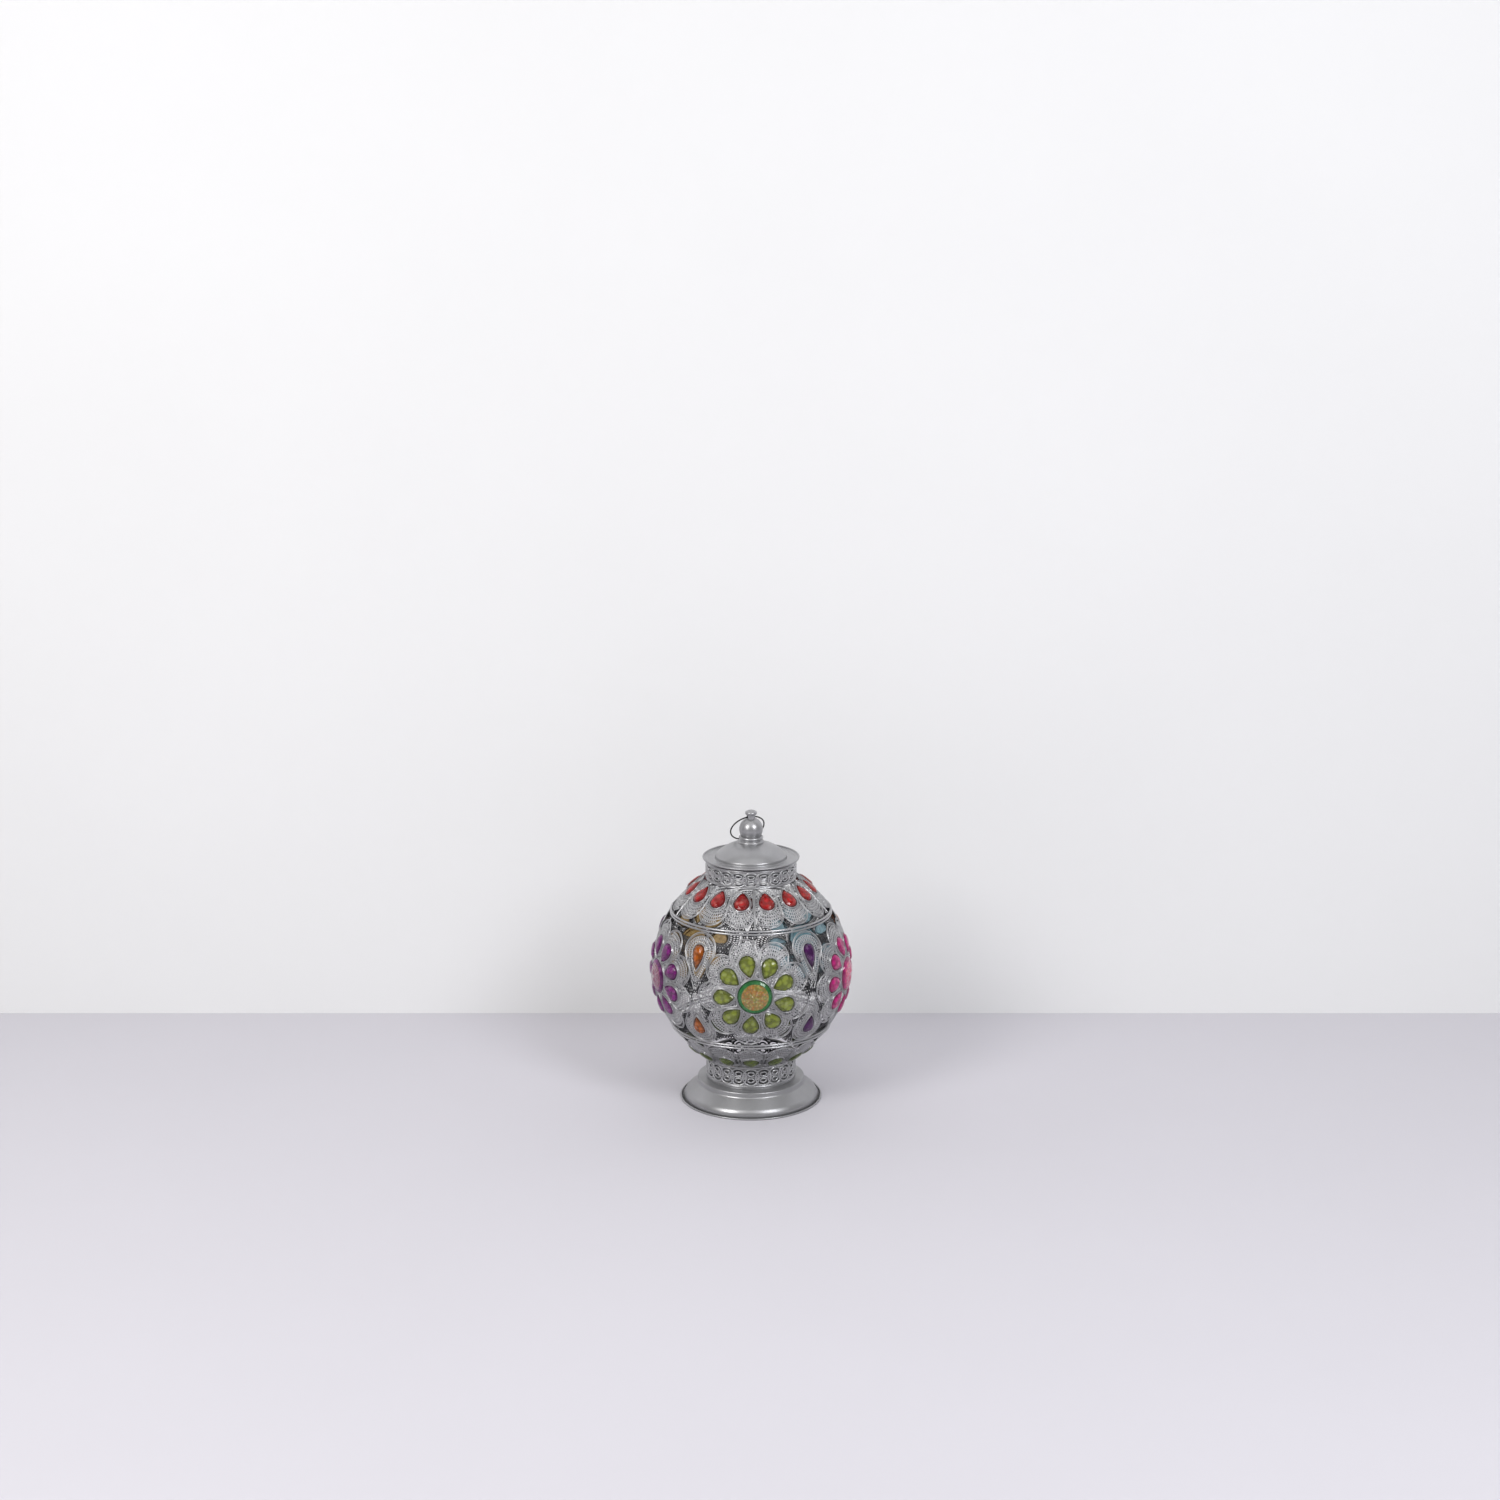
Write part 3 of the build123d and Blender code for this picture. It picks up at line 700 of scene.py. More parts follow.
class Shade(Nodes):
    """A shader node tree."""

    def add(self, kind, values=None, out=0, **settings):
        return super().add(kind, values, **settings)[out]

    def use(self, tree, values):
        """Adds a group and gives back its outputs."""
        return super().add("ShaderNodeGroup", values, node_tree=tree)

    def stored(self, name):
        """A number stored on each point."""
        return self.add("ShaderNodeAttribute", attribute_name=name, out="Fac")

    def noise(self, scale, detail=4.0, rough=0.55):
        place = self.add("ShaderNodeTexCoord", out="Object")
        values = {"Vector": place, "Scale": scale, "Detail": detail, "Roughness": rough}
        return self.add("ShaderNodeTexNoise", values)

    def ramp(self, value, low, high, to_low=0.0, to_high=1.0):
        values = {0: value, 1: low, 2: high, 3: to_low, 4: to_high}
        return self.add("ShaderNodeMapRange", values, clamp=True)

    def mix(self, share, a, b, blend="MIX"):
        values = {0: share, 6: a, 7: b}
        return self.add("ShaderNodeMix", values, out=2, data_type="RGBA", blend_type=blend)

    def math(self, operation, a, b):
        return self.add("ShaderNodeMath", {0: a, 1: b}, operation=operation)


def rgba(value, scale=1.0):
    """A colour with its alpha, made lighter or darker."""
    return (*[min(1.0, c * scale) for c in value], 1.0)


def group(name, values):
    """A group that takes a colour and two numbers, and gives a colour, a roughness and a height."""
    tree = bpy.data.node_groups.new(name, "ShaderNodeTree")
    for label, value in {"Colour": (0.5, 0.5, 0.5, 1), **values}.items():
        kind = "NodeSocketColor" if label == "Colour" else "NodeSocketFloat"
        socket = tree.interface.new_socket(name=label, in_out="INPUT", socket_type=kind)
        socket.default_value = value
    for label in ("Colour", "Roughness", "Height"):
        kind = "NodeSocketColor" if label == "Colour" else "NodeSocketFloat"
        tree.interface.new_socket(name=label, in_out="OUTPUT", socket_type=kind)
    return Shade(tree), tree.nodes.new("NodeGroupInput").outputs


def close_group(s, *results):
    """Links a group's colour, roughness and height to its outputs."""
    end = s.tree.nodes.new("NodeGroupOutput").inputs
    for label, result in zip(("Colour", "Roughness", "Height"), results):
        s.tree.links.new(result, end[label])
    return s.tree


def paint_wear_group():
    """Satin paint over metal: soft drift of colour, fine speckle and uneven gloss."""
    s, given = group("Paint Wear", {"Drift": 0.1, "Roughness": 0.35})
    cloud = s.noise(38.0, 5.0)
    speck = s.noise(1900.0, 2.0, 0.6)
    light = s.mix(1.0, given["Colour"], (1.35, 1.35, 1.36, 1), "MULTIPLY")
    dark = s.mix(1.0, given["Colour"], (0.72, 0.72, 0.73, 1), "MULTIPLY")
    drift = s.math("MULTIPLY", s.ramp(cloud, 0.35, 0.68), given["Drift"])
    drifted = s.mix(drift, given["Colour"], dark)
    fine = s.mix(s.math("MULTIPLY", s.ramp(speck, 0.55, 0.75), 0.35), drifted, light)
    rough = s.math("ADD", given["Roughness"], s.ramp(cloud, 0.3, 0.7, -0.05, 0.07))
    rough = s.math("ADD", rough, s.ramp(speck, 0.3, 0.8, -0.03, 0.06))
    height = s.math("ADD", speck, s.math("MULTIPLY", s.noise(420.0), 1.4))
    return close_group(s, fine, rough, height)


def stone_colour_group():
    """A moulded stone: cloudy colour, darker cells and painted shade low at its girdle, where the
    bezel shades it.
    """
    s, given = group("Stone Colour", {"Cloud": 0.5, "Grain": 260.0})
    place = s.add("ShaderNodeTexCoord", out="Object")
    cloud = s.noise(given["Grain"], 3.0)
    cells = s.add("ShaderNodeTexVoronoi", {"Vector": place, "Scale": given["Grain"]})
    # the deep tone serves both the stone's darker cells and the painted shade at its girdle
    deep_tone_and_shade = s.mix(1.0, given["Colour"], (0.22, 0.22, 0.24, 1), "MULTIPLY")
    pale = s.mix(0.30, given["Colour"], (0.95, 0.93, 0.80, 1))
    veins = s.math("MULTIPLY", s.ramp(cloud, 0.50, 0.72), given["Cloud"])
    spots = s.math("MULTIPLY", s.ramp(cells, 0.32, 0.62), given["Cloud"])
    body = s.mix(spots, s.mix(veins, given["Colour"], pale), deep_tone_and_shade)
    # painted shade: the stone darkens to its deep tone low at its girdle, as if shaded by its bezel
    edge = s.mix(s.ramp(s.stored("height"), 1.1, 3.4, 0.97, 0.0), body, deep_tone_and_shade)
    return close_group(s, edge, s.ramp(cloud, 0.3, 0.7, 0.05, 0.16), cloud)


def new_material(name):
    """A material, its node tree to build on, and its shader."""
    material = bpy.data.materials.new(name)
    material.use_nodes = True
    tree = material.node_tree
    shader = next(n for n in tree.nodes if n.type == "BSDF_PRINCIPLED")
    return material, Shade(tree), shader


def finish(s, shader, tree, values, bump, sockets):
    """Runs a group into a shader, and sets the shader's own sockets.

    bump is its (strength, depth in metres).
    """
    made = s.use(tree, values)
    relief = {"Height": made["Height"], "Strength": bump[0], "Distance": bump[1]}
    s.tree.links.new(made["Colour"], shader.inputs["Base Color"])
    s.tree.links.new(made["Roughness"], shader.inputs["Roughness"])
    s.tree.links.new(s.add("ShaderNodeBump", relief), shader.inputs["Normal"])
    for key, value in sockets.items():
        shader.inputs[key].default_value = value


def metal_material(name, base, groups, drift=0.4, rough=0.34, grain=0.12, metallic=0.75):
    """Silver paint on the smooth spun parts and wires."""
    material, s, shader = new_material(name)
    values = {"Colour": rgba(base), "Drift": drift, "Roughness": rough}
    sockets = {"Metallic": metallic, "Coat Weight": 0.12, "Coat Roughness": 0.25}
    finish(s, shader, groups["wear"], values, (grain, 0.00006), sockets)
    return material


def lace_material(name, base, recess_shade, groups):
    """Silver paint on the filigree, bright on top and darkened low down by painted shade."""
    material, s, shader = new_material(name)
    # painted shade: what lies low in the lace is darkened towards the recess colour, made patchy by
    # noise
    low = s.ramp(s.stored("height"), -0.22, 0.16, 1.0, 0.0)
    patchy_shade = s.math("MULTIPLY", low, s.ramp(s.noise(240.0), 0.25, 0.6, 0.75, 1.0))
    tone = s.mix(patchy_shade, rgba(base), rgba(recess_shade))
    values = {"Colour": tone, "Drift": 0.7, "Roughness": 0.30}
    finish(s, shader, groups["wear"], values, (0.5, 0.0001), {"Metallic": 0.8})
    return material


def stone_material(name, base, groups, cloud=0.6, through=0.55):
    """A glossy moulded stone that lets light through."""
    material, s, shader = new_material(name)
    values = {"Colour": rgba(base), "Cloud": cloud, "Grain": 190.0}
    sockets = {"IOR": 1.49, "Transmission Weight": through}
    finish(s, shader, groups["stone"], values, (0.15, 0.0002), sockets)
    return material


def speckled_material(name, base, second, groups, through):
    """The mottled middle of a centre stone: fine radial streaks in two colours."""
    material, s, shader = new_material(name)
    streak = s.math("MULTIPLY", s.stored("streak"), 0.06)
    share = s.ramp(s.math("ADD", streak, s.noise(230.0, 5.0, 0.7)), 0.46, 0.66)
    values = {"Colour": s.mix(share, rgba(base), rgba(second)), "Cloud": 0.45, "Grain": 420.0}
    sockets = {"Coat Weight": 0.7, "Coat Roughness": 0.05, "Transmission Weight": through}
    finish(s, shader, groups["stone"], values, (0.4, 0.0004), sockets)
    return material


def stage_material(name, base, one_sided=False):
    """Matt paper with a faint drift of tone. One-sided paper doesn't show from its back."""
    material, s, shader = new_material(name)
    tone = s.mix(s.ramp(s.noise(2.2, 2.0), 0.35, 0.65), rgba(base), rgba(base, 0.985))
    s.tree.links.new(tone, shader.inputs["Base Color"])
    shader.inputs["Roughness"].default_value = 0.85
    if one_sided:
        back = s.add("ShaderNodeNewGeometry", out="Backfacing")
        s.tree.links.new(s.math("SUBTRACT", 1.0, back), shader.inputs["Alpha"])
    return material


CLEARER = ("cyan", "amber")            # these let most of the light through
MIDDLES = {                            # the two colours in the middle of each centre stone
    "green": ((0.38, 0.16, 0.03), (0.26, 0.27, 0.05)),
    "pink": ((0.72, 0.04, 0.16), (0.50, 0.02, 0.20)),
    "cyan": ((0.30, 0.80, 0.90), (0.50, 0.90, 0.92)),
    "amber": ((1.0, 0.60, 0.15), (0.95, 0.75, 0.30)),
    "purple": ((0.22, 0.05, 0.11), (0.30, 0.09, 0.16)),
}
GREEN_RIM = (0.04, 0.30, 0.07)
STEEL = (0.38, 0.38, 0.38)
DARK_STEEL = (0.028, 0.027, 0.026)
SHARED = {}


def shared():
    """Trees and finishes, built once and used by every piece."""
    if SHARED:
        return SHARED
    tones = bpy.context.scene.lantern_colours
    groups = {"wear": paint_wear_group(), "stone": stone_colour_group()}
    SHARED["trees"] = {"loops": loops_tree(), "wire": wire_tree(), "beads": beads_tree()}
    for key, label, *look in (
        ("foot", "Silver Foot", tones.silver, groups),
        ("lid", "Silver Lid", tones.silver, groups),
        ("wire", "Silver Wire", tones.filigree, groups, 0.8, 0.28, 0.3, 0.85),
        ("bezel", "Silver Bezel", tones.filigree, groups, 0.8, 0.26, 0.2, 0.85),
        ("steel", "Plain Steel", STEEL, groups, 0.5, 0.3, 0.2, 1.0),
        ("dark", "Dark Wire", DARK_STEEL, groups, 0.5, 0.3, 0.2, 0.9),
    ):
        SHARED[key] = metal_material(label, *look)
    SHARED["lace"] = lace_material("Silver Filigree", tones.filigree, tones.recess_shade, groups)
    for name in (*COLOURS, "olive", "red", "orange", "plum"):
        through = 0.95 if name in CLEARER else 0.5
        tone = getattr(tones, name)
        SHARED[name] = stone_material(name.title() + " Stone", tone, groups, through=through)
    for name, pair in MIDDLES.items():
        through = 0.75 if name in CLEARER else 0.1
        middle = speckled_material(name.title() + " Middle", *pair, groups, through)
        SHARED[name + " middle"] = middle
    SHARED["green rim"] = stone_material("Green Rim", GREEN_RIM, groups, 0.3)
    return SHARED


class BuildStep:
    """What every operator shares: it builds with the shared trees and finishes."""

    def execute(self, context):
        self.build(shared(), context.scene)
        return {"FINISHED"}


# ---- foot, lid, finial and ring ---------------------------------------------------------------


class LANTERN_OT_add_foot(BuildStep, bpy.types.Operator):
    """Spins the stepped foot with its rolled edge, and finishes what it carries."""

    bl_idname = "lantern.add_foot"
    bl_label = "Add Foot"

    WALL = 0.8
    CORNERS = (0.5, 0.3, 1.5, 2.6, 9.0)

    def build(self, kit, scene):
        outline = [
            (0, DECK_Z),
            (COLLAR_R, DECK_Z),
            (COLLAR_R, DECK_Z - 1.2),
            (COLLAR_R + 9.4, DECK_Z - 2.1),
            (COLLAR_R + 10.3, DECK_Z - 7.0),
            (FOOT_R - 6.6, 7.6),
            (FOOT_R - 2 * FOOT_BEAD, 0.8),
        ]
        line = rounded(outline, self.CORNERS, 7)
        shell = lathe(sheet_profile(line, self.WALL), kit["foot"])
        piece("foot_shell", shell, BODY, ["base_shell"])
        bead = wire_ring(FOOT_R - ROLLED_EDGE, ROLLED_EDGE, ROLLED_EDGE, kit["foot"])
        piece("foot_rolled_edge", bead, BODY, ["base_rim"])
        refinish("base_plate", kit["foot"])
        for name in ("candle_cup", "cup_rivets", "finial_washer", "finial_nut"):
            refinish(name, kit["steel"])


class LANTERN_OT_add_lid(BuildStep, bpy.types.Operator):
    """Spins the domed lid with its dished flange, rolled edge and inner lip."""

    bl_idname = "lantern.add_lid"
    bl_label = "Add Lid"

    DOME_R = 35.4
    DISH_R = 43.5                      # where the flange turns up to its rolled edge
    SHOULDER_R = 33.0                  # inside this the dome is flatter than an ellipse

    def build(self, kit, scene):
        flange_z = LID_SEAT_Z + SHEET
        foot_z = flange_z + 0.6
        turns = np.linspace(math.pi / 2, 0, 30)
        x, z = self.DOME_R * np.cos(turns), foot_z + (APEX_Z - foot_z) * np.sin(turns)
        round_z = APEX_Z - x**2 * (APEX_Z - LID_SEAT_Z - 3.2) / 34.5**2
        within = x < self.SHOULDER_R
        dome = np.stack([x, z * 0.6 + round_z * 0.4], 1)[within]
        rim = LID_R - ROLLED_EDGE
        flange = [
            dome[-1],
            (self.DOME_R, flange_z + 3),
            (self.DOME_R + 0.4, flange_z),
            (self.DISH_R, flange_z + 0.05),
            (rim, flange_z + 1.6),
        ]
        line = np.vstack([dome[:-1], rounded(flange, (2.5, 0.9, 5.0), 8)])
        shell = lathe(sheet_profile(line, SHEET), kit["lid"])
        piece("lid_dome", shell, LID, ["lid_shell"])
        bead = wire_ring(rim, flange_z + 1.1, ROLLED_EDGE, kit["lid"])
        piece("lid_rolled_edge", bead, LID)
        low, high = box_mm("lid_lip")
        inner = high.x - 0.8
        lip = [
            (high.x, high.z),
            (high.x, low.z + 0.4),
            (high.x - 0.4, low.z),
            (inner, low.z + 0.2),
            (inner, high.z),
        ]
        piece("lid_inner_lip", lathe(lip, kit["lid"]), LID, ["lid_lip"])


class LANTERN_OT_add_finial(BuildStep, bpy.types.Operator):
    """Finishes the turned finial, whose CAD shape is used as it is."""

    bl_idname = "lantern.add_finial"
    bl_label = "Add Finial"

    def build(self, kit, scene):
        refinish("finial", kit["lid"])


class LANTERN_OT_add_ring(BuildStep, bpy.types.Operator):
    """Bends the hanging ring, which lies back on the dome."""

    bl_idname = "lantern.add_ring"
    bl_label = "Add Hanging Ring"

    WIRE = 0.7                         # half the ring's thickness
    RADIUS = 17.4

    def build(self, kit, scene):
        pivot = np.array(SWING["pos_m"]) / MM
        axis = np.array(SWING["axis"])
        low = box_mm("hanging_ring")[0].z
        lean = math.acos((pivot[2] - low - self.WIRE) / (2 * self.RADIUS))
        back = np.array([-axis[1], axis[0], 0.0])
        down = np.array([0, 0, -math.cos(lean)]) + back * math.sin(lean)
        mesh = wire_ring(self.RADIUS, 0, self.WIRE, kit["dark"], 96)
        turn = np.array([axis, down, np.cross(axis, down)])
        set_coords(mesh, pivot + down * self.RADIUS + coords(mesh) @ turn)
        piece("ring_wire", mesh, RING, ["hanging_ring"])


# ---- collars ----------------------------------------------------------------------------------


class LANTERN_OT_add_collars(BuildStep, bpy.types.Operator):
    """Bends the two pierced bands of interlaced circles and their edge wires."""

    bl_idname = "lantern.add_collars"
    bl_label = "Add Collars"

    UNITS = 22
    BAND_POINTS = 264

    def build(self, kit, scene):
        around = 2 * math.pi * COLLAR_R
        pitch = around / self.UNITS
        at = np.arange(self.UNITS) * pitch
        level = np.zeros(self.UNITS)
        along = np.linspace(0, around, self.BAND_POINTS + 1)[:-1]
        for side, (low, high) in COLLAR_Z.items():
            tall = high - low
            # each row: a loop's width, length, wire and points; its shift; heights; lift
            rows = (
                ((pitch * 1.30, tall * 0.95, 2.0, 30), 0.0, (0.5,), 0.12),
                ((6.5, tall * 0.235, 1.9, 18), 0.0, (0.32, 0.68), -0.05),
                ((2.9, 4.0, 1.6, 12), pitch / 2, (0.5,), 0.0),
                ((2.2, 2.0, 0.8, 10), pitch / 2, (0.13, 0.87), 0.0),
            )
            lace = Lace(kit)
            for loop, shift, heights, lift in rows:
                for height in heights:
                    spots = np.stack([at + shift, level + tall * height], 1)
                    lace.add_loops(loop, spots, level, 1.0, lift)
            for height, wire in ((0.0, 1.3), (0.5, 1.1), (1.0, 1.3)):
                run = np.stack([along, np.full(self.BAND_POINTS, tall * height)], 1)
                lace.add_wire(run, wire)
            band = wrapped(lace.mesh(), lambda co: on_band(co, low, COLLAR_R))
            piece(side + "_collar_band", band, BODY, [side + "_collar"])
            wires = [
                wire_ring(COLLAR_R, z, COLLAR_WIRE, kit["wire"])
                for z in (low - COLLAR_WIRE, high + COLLAR_WIRE)
            ]
            edge = joined(wires, "wires")
            piece(side + "_collar_edges", edge, BODY, [side + "_collar_wires"])


# ---- sloping sections -------------------------------------------------------------------------

SLOPE_STONE = (7.7, 13.3)              # radius and tip length, as for every drop
SLOPE_STONE_Y = 0.40 * SLOPE_RUN
STONES_PER_SIDE = 3
DROP_STEP = SECTOR / STONES_PER_SIDE * math.sin(SLOPE_ANGLE)
DROP_CLOCKS = [(k - (STONES_PER_SIDE - 1) / 2) * DROP_STEP for k in range(STONES_PER_SIDE)]


class LANTERN_OT_add_sloping_sections(BuildStep, bpy.types.Operator):
    """Makes the lace of the lower and upper sections, three lobes to a segment."""

    bl_idname = "lantern.add_sloping_sections"
    bl_label = "Add Sloping Sections"

    LOBE_R = 14.4
    INSET = 1.3                        # from a lobe's rim wire in to its thread

    def build(self, kit, scene):
        sizes = lace_sizes(scene)
        half = DROP_STEP / 2
        lace = Lace(kit)
        base = (SLOPE_APEX + 0.8) * math.tan(half) - 0.5
        centre_y = SLOPE_RUN - 15.6
        rim = lobe_outline(base, 0.8, centre_y, self.LOBE_R)
        inner = lobe_outline(base - self.INSET, 0.8, centre_y, self.LOBE_R - self.INSET)
        for clock in DROP_CLOCKS:
            place = partial(turned, clock=clock, pivot=SLOPE_APEX)
            add_rim(lace, sizes, place(rim), place(inner), 0.35, 0.1)
            fill_lobe(lace, sizes, SLOPE_STONE, SLOPE_STONE_Y, inner, clock, half, SLOPE_APEX)
        flat = lace.mesh()
        for side in SLOPE_TURN:
            for k in range(SIDES):
                name, node = f"{side}_lace_{k + 1}", f"{side}_panel_{k + 1}"
                piece(name, segment(flat, side, k), BODY, [node])


class LANTERN_OT_add_struts(BuildStep, bpy.types.Operator):
    """Bends the paired wires between the segments of both sloping sections."""

    bl_idname = "lantern.add_struts"
    bl_label = "Add Struts"

    APART = 0.62                       # from the joint line to each wire

    def build(self, kit, scene):
        half = SECTOR / 2 * math.sin(SLOPE_ANGLE)
        lace = Lace(kit, "wire")
        reach = np.linspace(SLOPE_APEX, SLOPE_APEX + SLOPE_RUN, 26)
        for offset in (-self.APART, self.APART):
            x = reach * math.sin(half) + offset
            y = reach * math.cos(half) - SLOPE_APEX
            lace.add_wire(np.stack([x, y], 1), 1.15, 0.3)
        flat = lace.mesh()
        for side in SLOPE_TURN:
            mesh = joined([segment(flat, side, k) for k in range(SIDES)], "struts")
            piece(side + "_strut_wires", mesh, BODY, [side + "_struts"])


# ---- globe ------------------------------------------------------------------------------------

LOBES = 9
LOBE_STEP = 2 * math.pi / LOBES
LOBE_START = math.radians(27)
LOBE_CLOCKS = [LOBE_START + k * LOBE_STEP for k in range(LOBES)]
PETAL = (8.2, 13.6)
PETAL_AT = 33.0                        # from the flower's middle out to its petals
CENTRE_R = 17.0
ACCENT = {"upper": (6.4, 18.0), "lower": (6.4, 14.2)}
ACCENT_AT = {"upper": 40.0, "lower": 41.0}
ACCENT_TONES = ("plum", "orange", "red", "plum", "orange")
LEAF_R = 17.3
LEAF_TOP = 59.0
# a lobe's rim, and the thread inside it: half its base, the base's and the end's places, radius
LOBE_RIM = (4.6, 19.2, 42.0, 15.6)
LOBE_INNER = (3.6, 19.4, 42.0, 14.3)
GROUND_LOOP = (2.3, 3.5, 1.0, 10)      # width, length, wire and points of the plain mesh's loops
GROUND_LIFT = -0.75
SEAM_LOOPS = ((20.6, 0.62), (23.6, 0.8), (27.2, 0.9))    # place and size, between two lobes


def leaf_outline(side, radius):
    """A leaf's rim, drawn about its stone: a round end at the seam, narrowing to the equator."""
    top = LEAF_TOP - ACCENT_AT[side]
    return lobe_outline(1.0, 2.0 - ACCENT_AT[side], top - LEAF_R, radius)


def seen_from(azimuth, up, spin, arc):
    """Flat places, about a point on the globe, of other points given by azimuth and elevation."""
    x = np.cos(up) * np.sin(azimuth - spin)
    y = -np.cos(up) * np.cos(azimuth - spin)
    z = np.sin(up)
    lift = arc / GLOBE_R
    y, z = y * math.cos(lift) - z * math.sin(lift), y * math.sin(lift) + z * math.cos(lift)
    away = np.arccos(np.clip(-y, -1, 1))
    scale = GLOBE_R * away / np.maximum(np.sin(away), 1e-9)
    return np.stack([x * scale, z * scale], 1)


def ground_places():
    """Where the plain mesh between a flower's lobes and the leaves has its loops."""
    rows = []
    for k, up in enumerate(np.arange(-49.5, 50, 3.3) / GLOBE_R):
        count = int(SECTOR * GLOBE_R * math.cos(up) / 2.7)
        azimuth = (np.arange(count) + 0.5 * (k % 2)) / count * SECTOR - SECTOR / 2
        rows.append(np.stack([azimuth, np.full(count, up)], 1))
    azimuth, up = np.vstack(rows).T
    flat = seen_from(azimuth, up, 0.0, 0.0)
    keep = np.hypot(*flat.T) > CENTRE_R + 3
    for clock in LOBE_CLOCKS:
        keep &= ~inside(flat, turned(lobe_outline(*LOBE_RIM), clock))
    for side, sign in (("upper", 1), ("lower", -1)):
        for spin in (-SECTOR / 2, SECTOR / 2):
            near = seen_from(azimuth, up, spin, sign * ACCENT_AT[side]) * [1, sign]
            keep &= ~inside(near, leaf_outline(side, LEAF_R))
    return flat[keep]


def on_petals(flat, flower):
    """Copies of a flat piece at the petals of a flower."""

    def place(co, clock):
        out = turned(co[:, :2] + [0, PETAL_AT], clock)
        return on_globe(np.column_stack([out, co[:, 2]]), flower * SECTOR)

    return [wrapped(flat, partial(place, clock=clock)) for clock in LOBE_CLOCKS]


def leaf_places():
    """Each leaf's side and count, and what puts a flat piece there."""
    for side, sign, roll in (("upper", 1, 0.0), ("lower", -1, math.pi)):
        for k in range(SIDES):
            spin, arc = SECTOR / 2 + k * SECTOR, sign * ACCENT_AT[side]
            yield side, k, partial(on_globe, spin=spin, arc=arc, roll=roll)


class LANTERN_OT_add_flowers(BuildStep, bpy.types.Operator):
    """Makes the lace of the five flowers, nine lobes about a round stone."""

    bl_idname = "lantern.add_flowers"
    bl_label = "Add Flowers"

    def build(self, kit, scene):
        sizes = lace_sizes(scene)
        lace = Lace(kit)
        rim, inner = lobe_outline(*LOBE_RIM), lobe_outline(*LOBE_INNER)
        seam_loop = (2.9, 3.4, sizes["loop_wire"], LOOP_POINTS)
        for k, clock in enumerate(LOBE_CLOCKS):
            lift = 0.55 if k % 2 else 0.3
            add_rim(lace, sizes, turned(rim, clock), turned(inner, clock), lift, lift - 0.2)
            fill_lobe(lace, sizes, PETAL, PETAL_AT, inner, clock, LOBE_STEP / 2)
            seam = clock + LOBE_STEP / 2
            for away, size in SEAM_LOOPS:
                spot = turned(np.array([[0.0, away]]), seam)
                lace.add_loops(seam_loop, spot, [-seam], size)
        ground = ground_places()
        turns = np.random.default_rng(5).uniform(-0.5, 0.5, len(ground))
        lace.add_loops(GROUND_LOOP, ground, turns, 1.0, GROUND_LIFT)
        around = arc_points((0, 0), CENTRE_R + 1.9, 0, 2 * math.pi, 61)[:-1]
        lace.add_wire(around, sizes["thread"] * 1.5, 0.2, closed=True)
        flat = lace.mesh()
        for k, name in enumerate(COLOURS):
            mesh = wrapped(flat, partial(on_globe, spin=k * SECTOR))
            piece(f"flower_lace_{name}", mesh, BODY, [f"flower_panel_{name}"])


class LANTERN_OT_add_leaves(BuildStep, bpy.types.Operator):
    """Makes the lace of the leaves above and below, between the flowers."""

    bl_idname = "lantern.add_leaves"
    bl_label = "Add Leaves"

    def build(self, kit, scene):
        sizes = lace_sizes(scene)
        flats = {}
        for side, stone in ACCENT.items():
            lace = Lace(kit)
            inner = leaf_outline(side, LEAF_R - 1.3)
            add_rim(lace, sizes, leaf_outline(side, LEAF_R), inner, 0.45, 0.2)
            fill_lobe(lace, sizes, stone, 0.0, inner)
            flats[side] = lace.mesh()
        copies = [wrapped(flats[side], place) for side, _, place in leaf_places()]
        piece("leaf_lace", joined(copies, "leaves"), BODY, ["accent_leaves"])


class LANTERN_OT_add_edge_wires(BuildStep, bpy.types.Operator):
    """Bends the paired wires of each seam and drops solder beads between them."""

    bl_idname = "lantern.add_edge_wires"
    bl_label = "Add Edge Wires"

    THIN = EDGE_WIRE * 0.8

    def build(self, kit, scene):
        ends = (("lower", -1), ("upper", 1))
        rings = [wire_ring(SEAM_R, GLOBE_Z + s * SEAM_Z, self.THIN, kit["wire"]) for _, s in ends]
        for side, sign in ends:
            ring = wire_ring(SECTION_R, SECTION_Z[side], self.THIN, kit["wire"])
            piece(side + "_seam_wire", ring, BODY, [side + "_section_wire"])
            count = 2 * SIDES
            turns = np.arange(count) * 2 * math.pi / count + 0.52
            height = np.full(count, GLOBE_Z + sign * (SEAM_Z + 1.4))
            spots = np.stack([SEAM_R * np.sin(turns), -SEAM_R * np.cos(turns), height], 1)
            values = {"Radius": 1.5, "Flatten": 0.75, "Material": kit["wire"]}
            numbers = {"turn": turns, "size": 0.75 + 0.25 * np.cos(turns * 3)}
            rings.append(run_tree(kit["trees"]["beads"], spots, [], values, numbers))
        piece("globe_edges", joined(rings, "edges"), BODY, ["globe_edge_wires"])


# ---- stones and their bezels ------------------------------------------------------------------


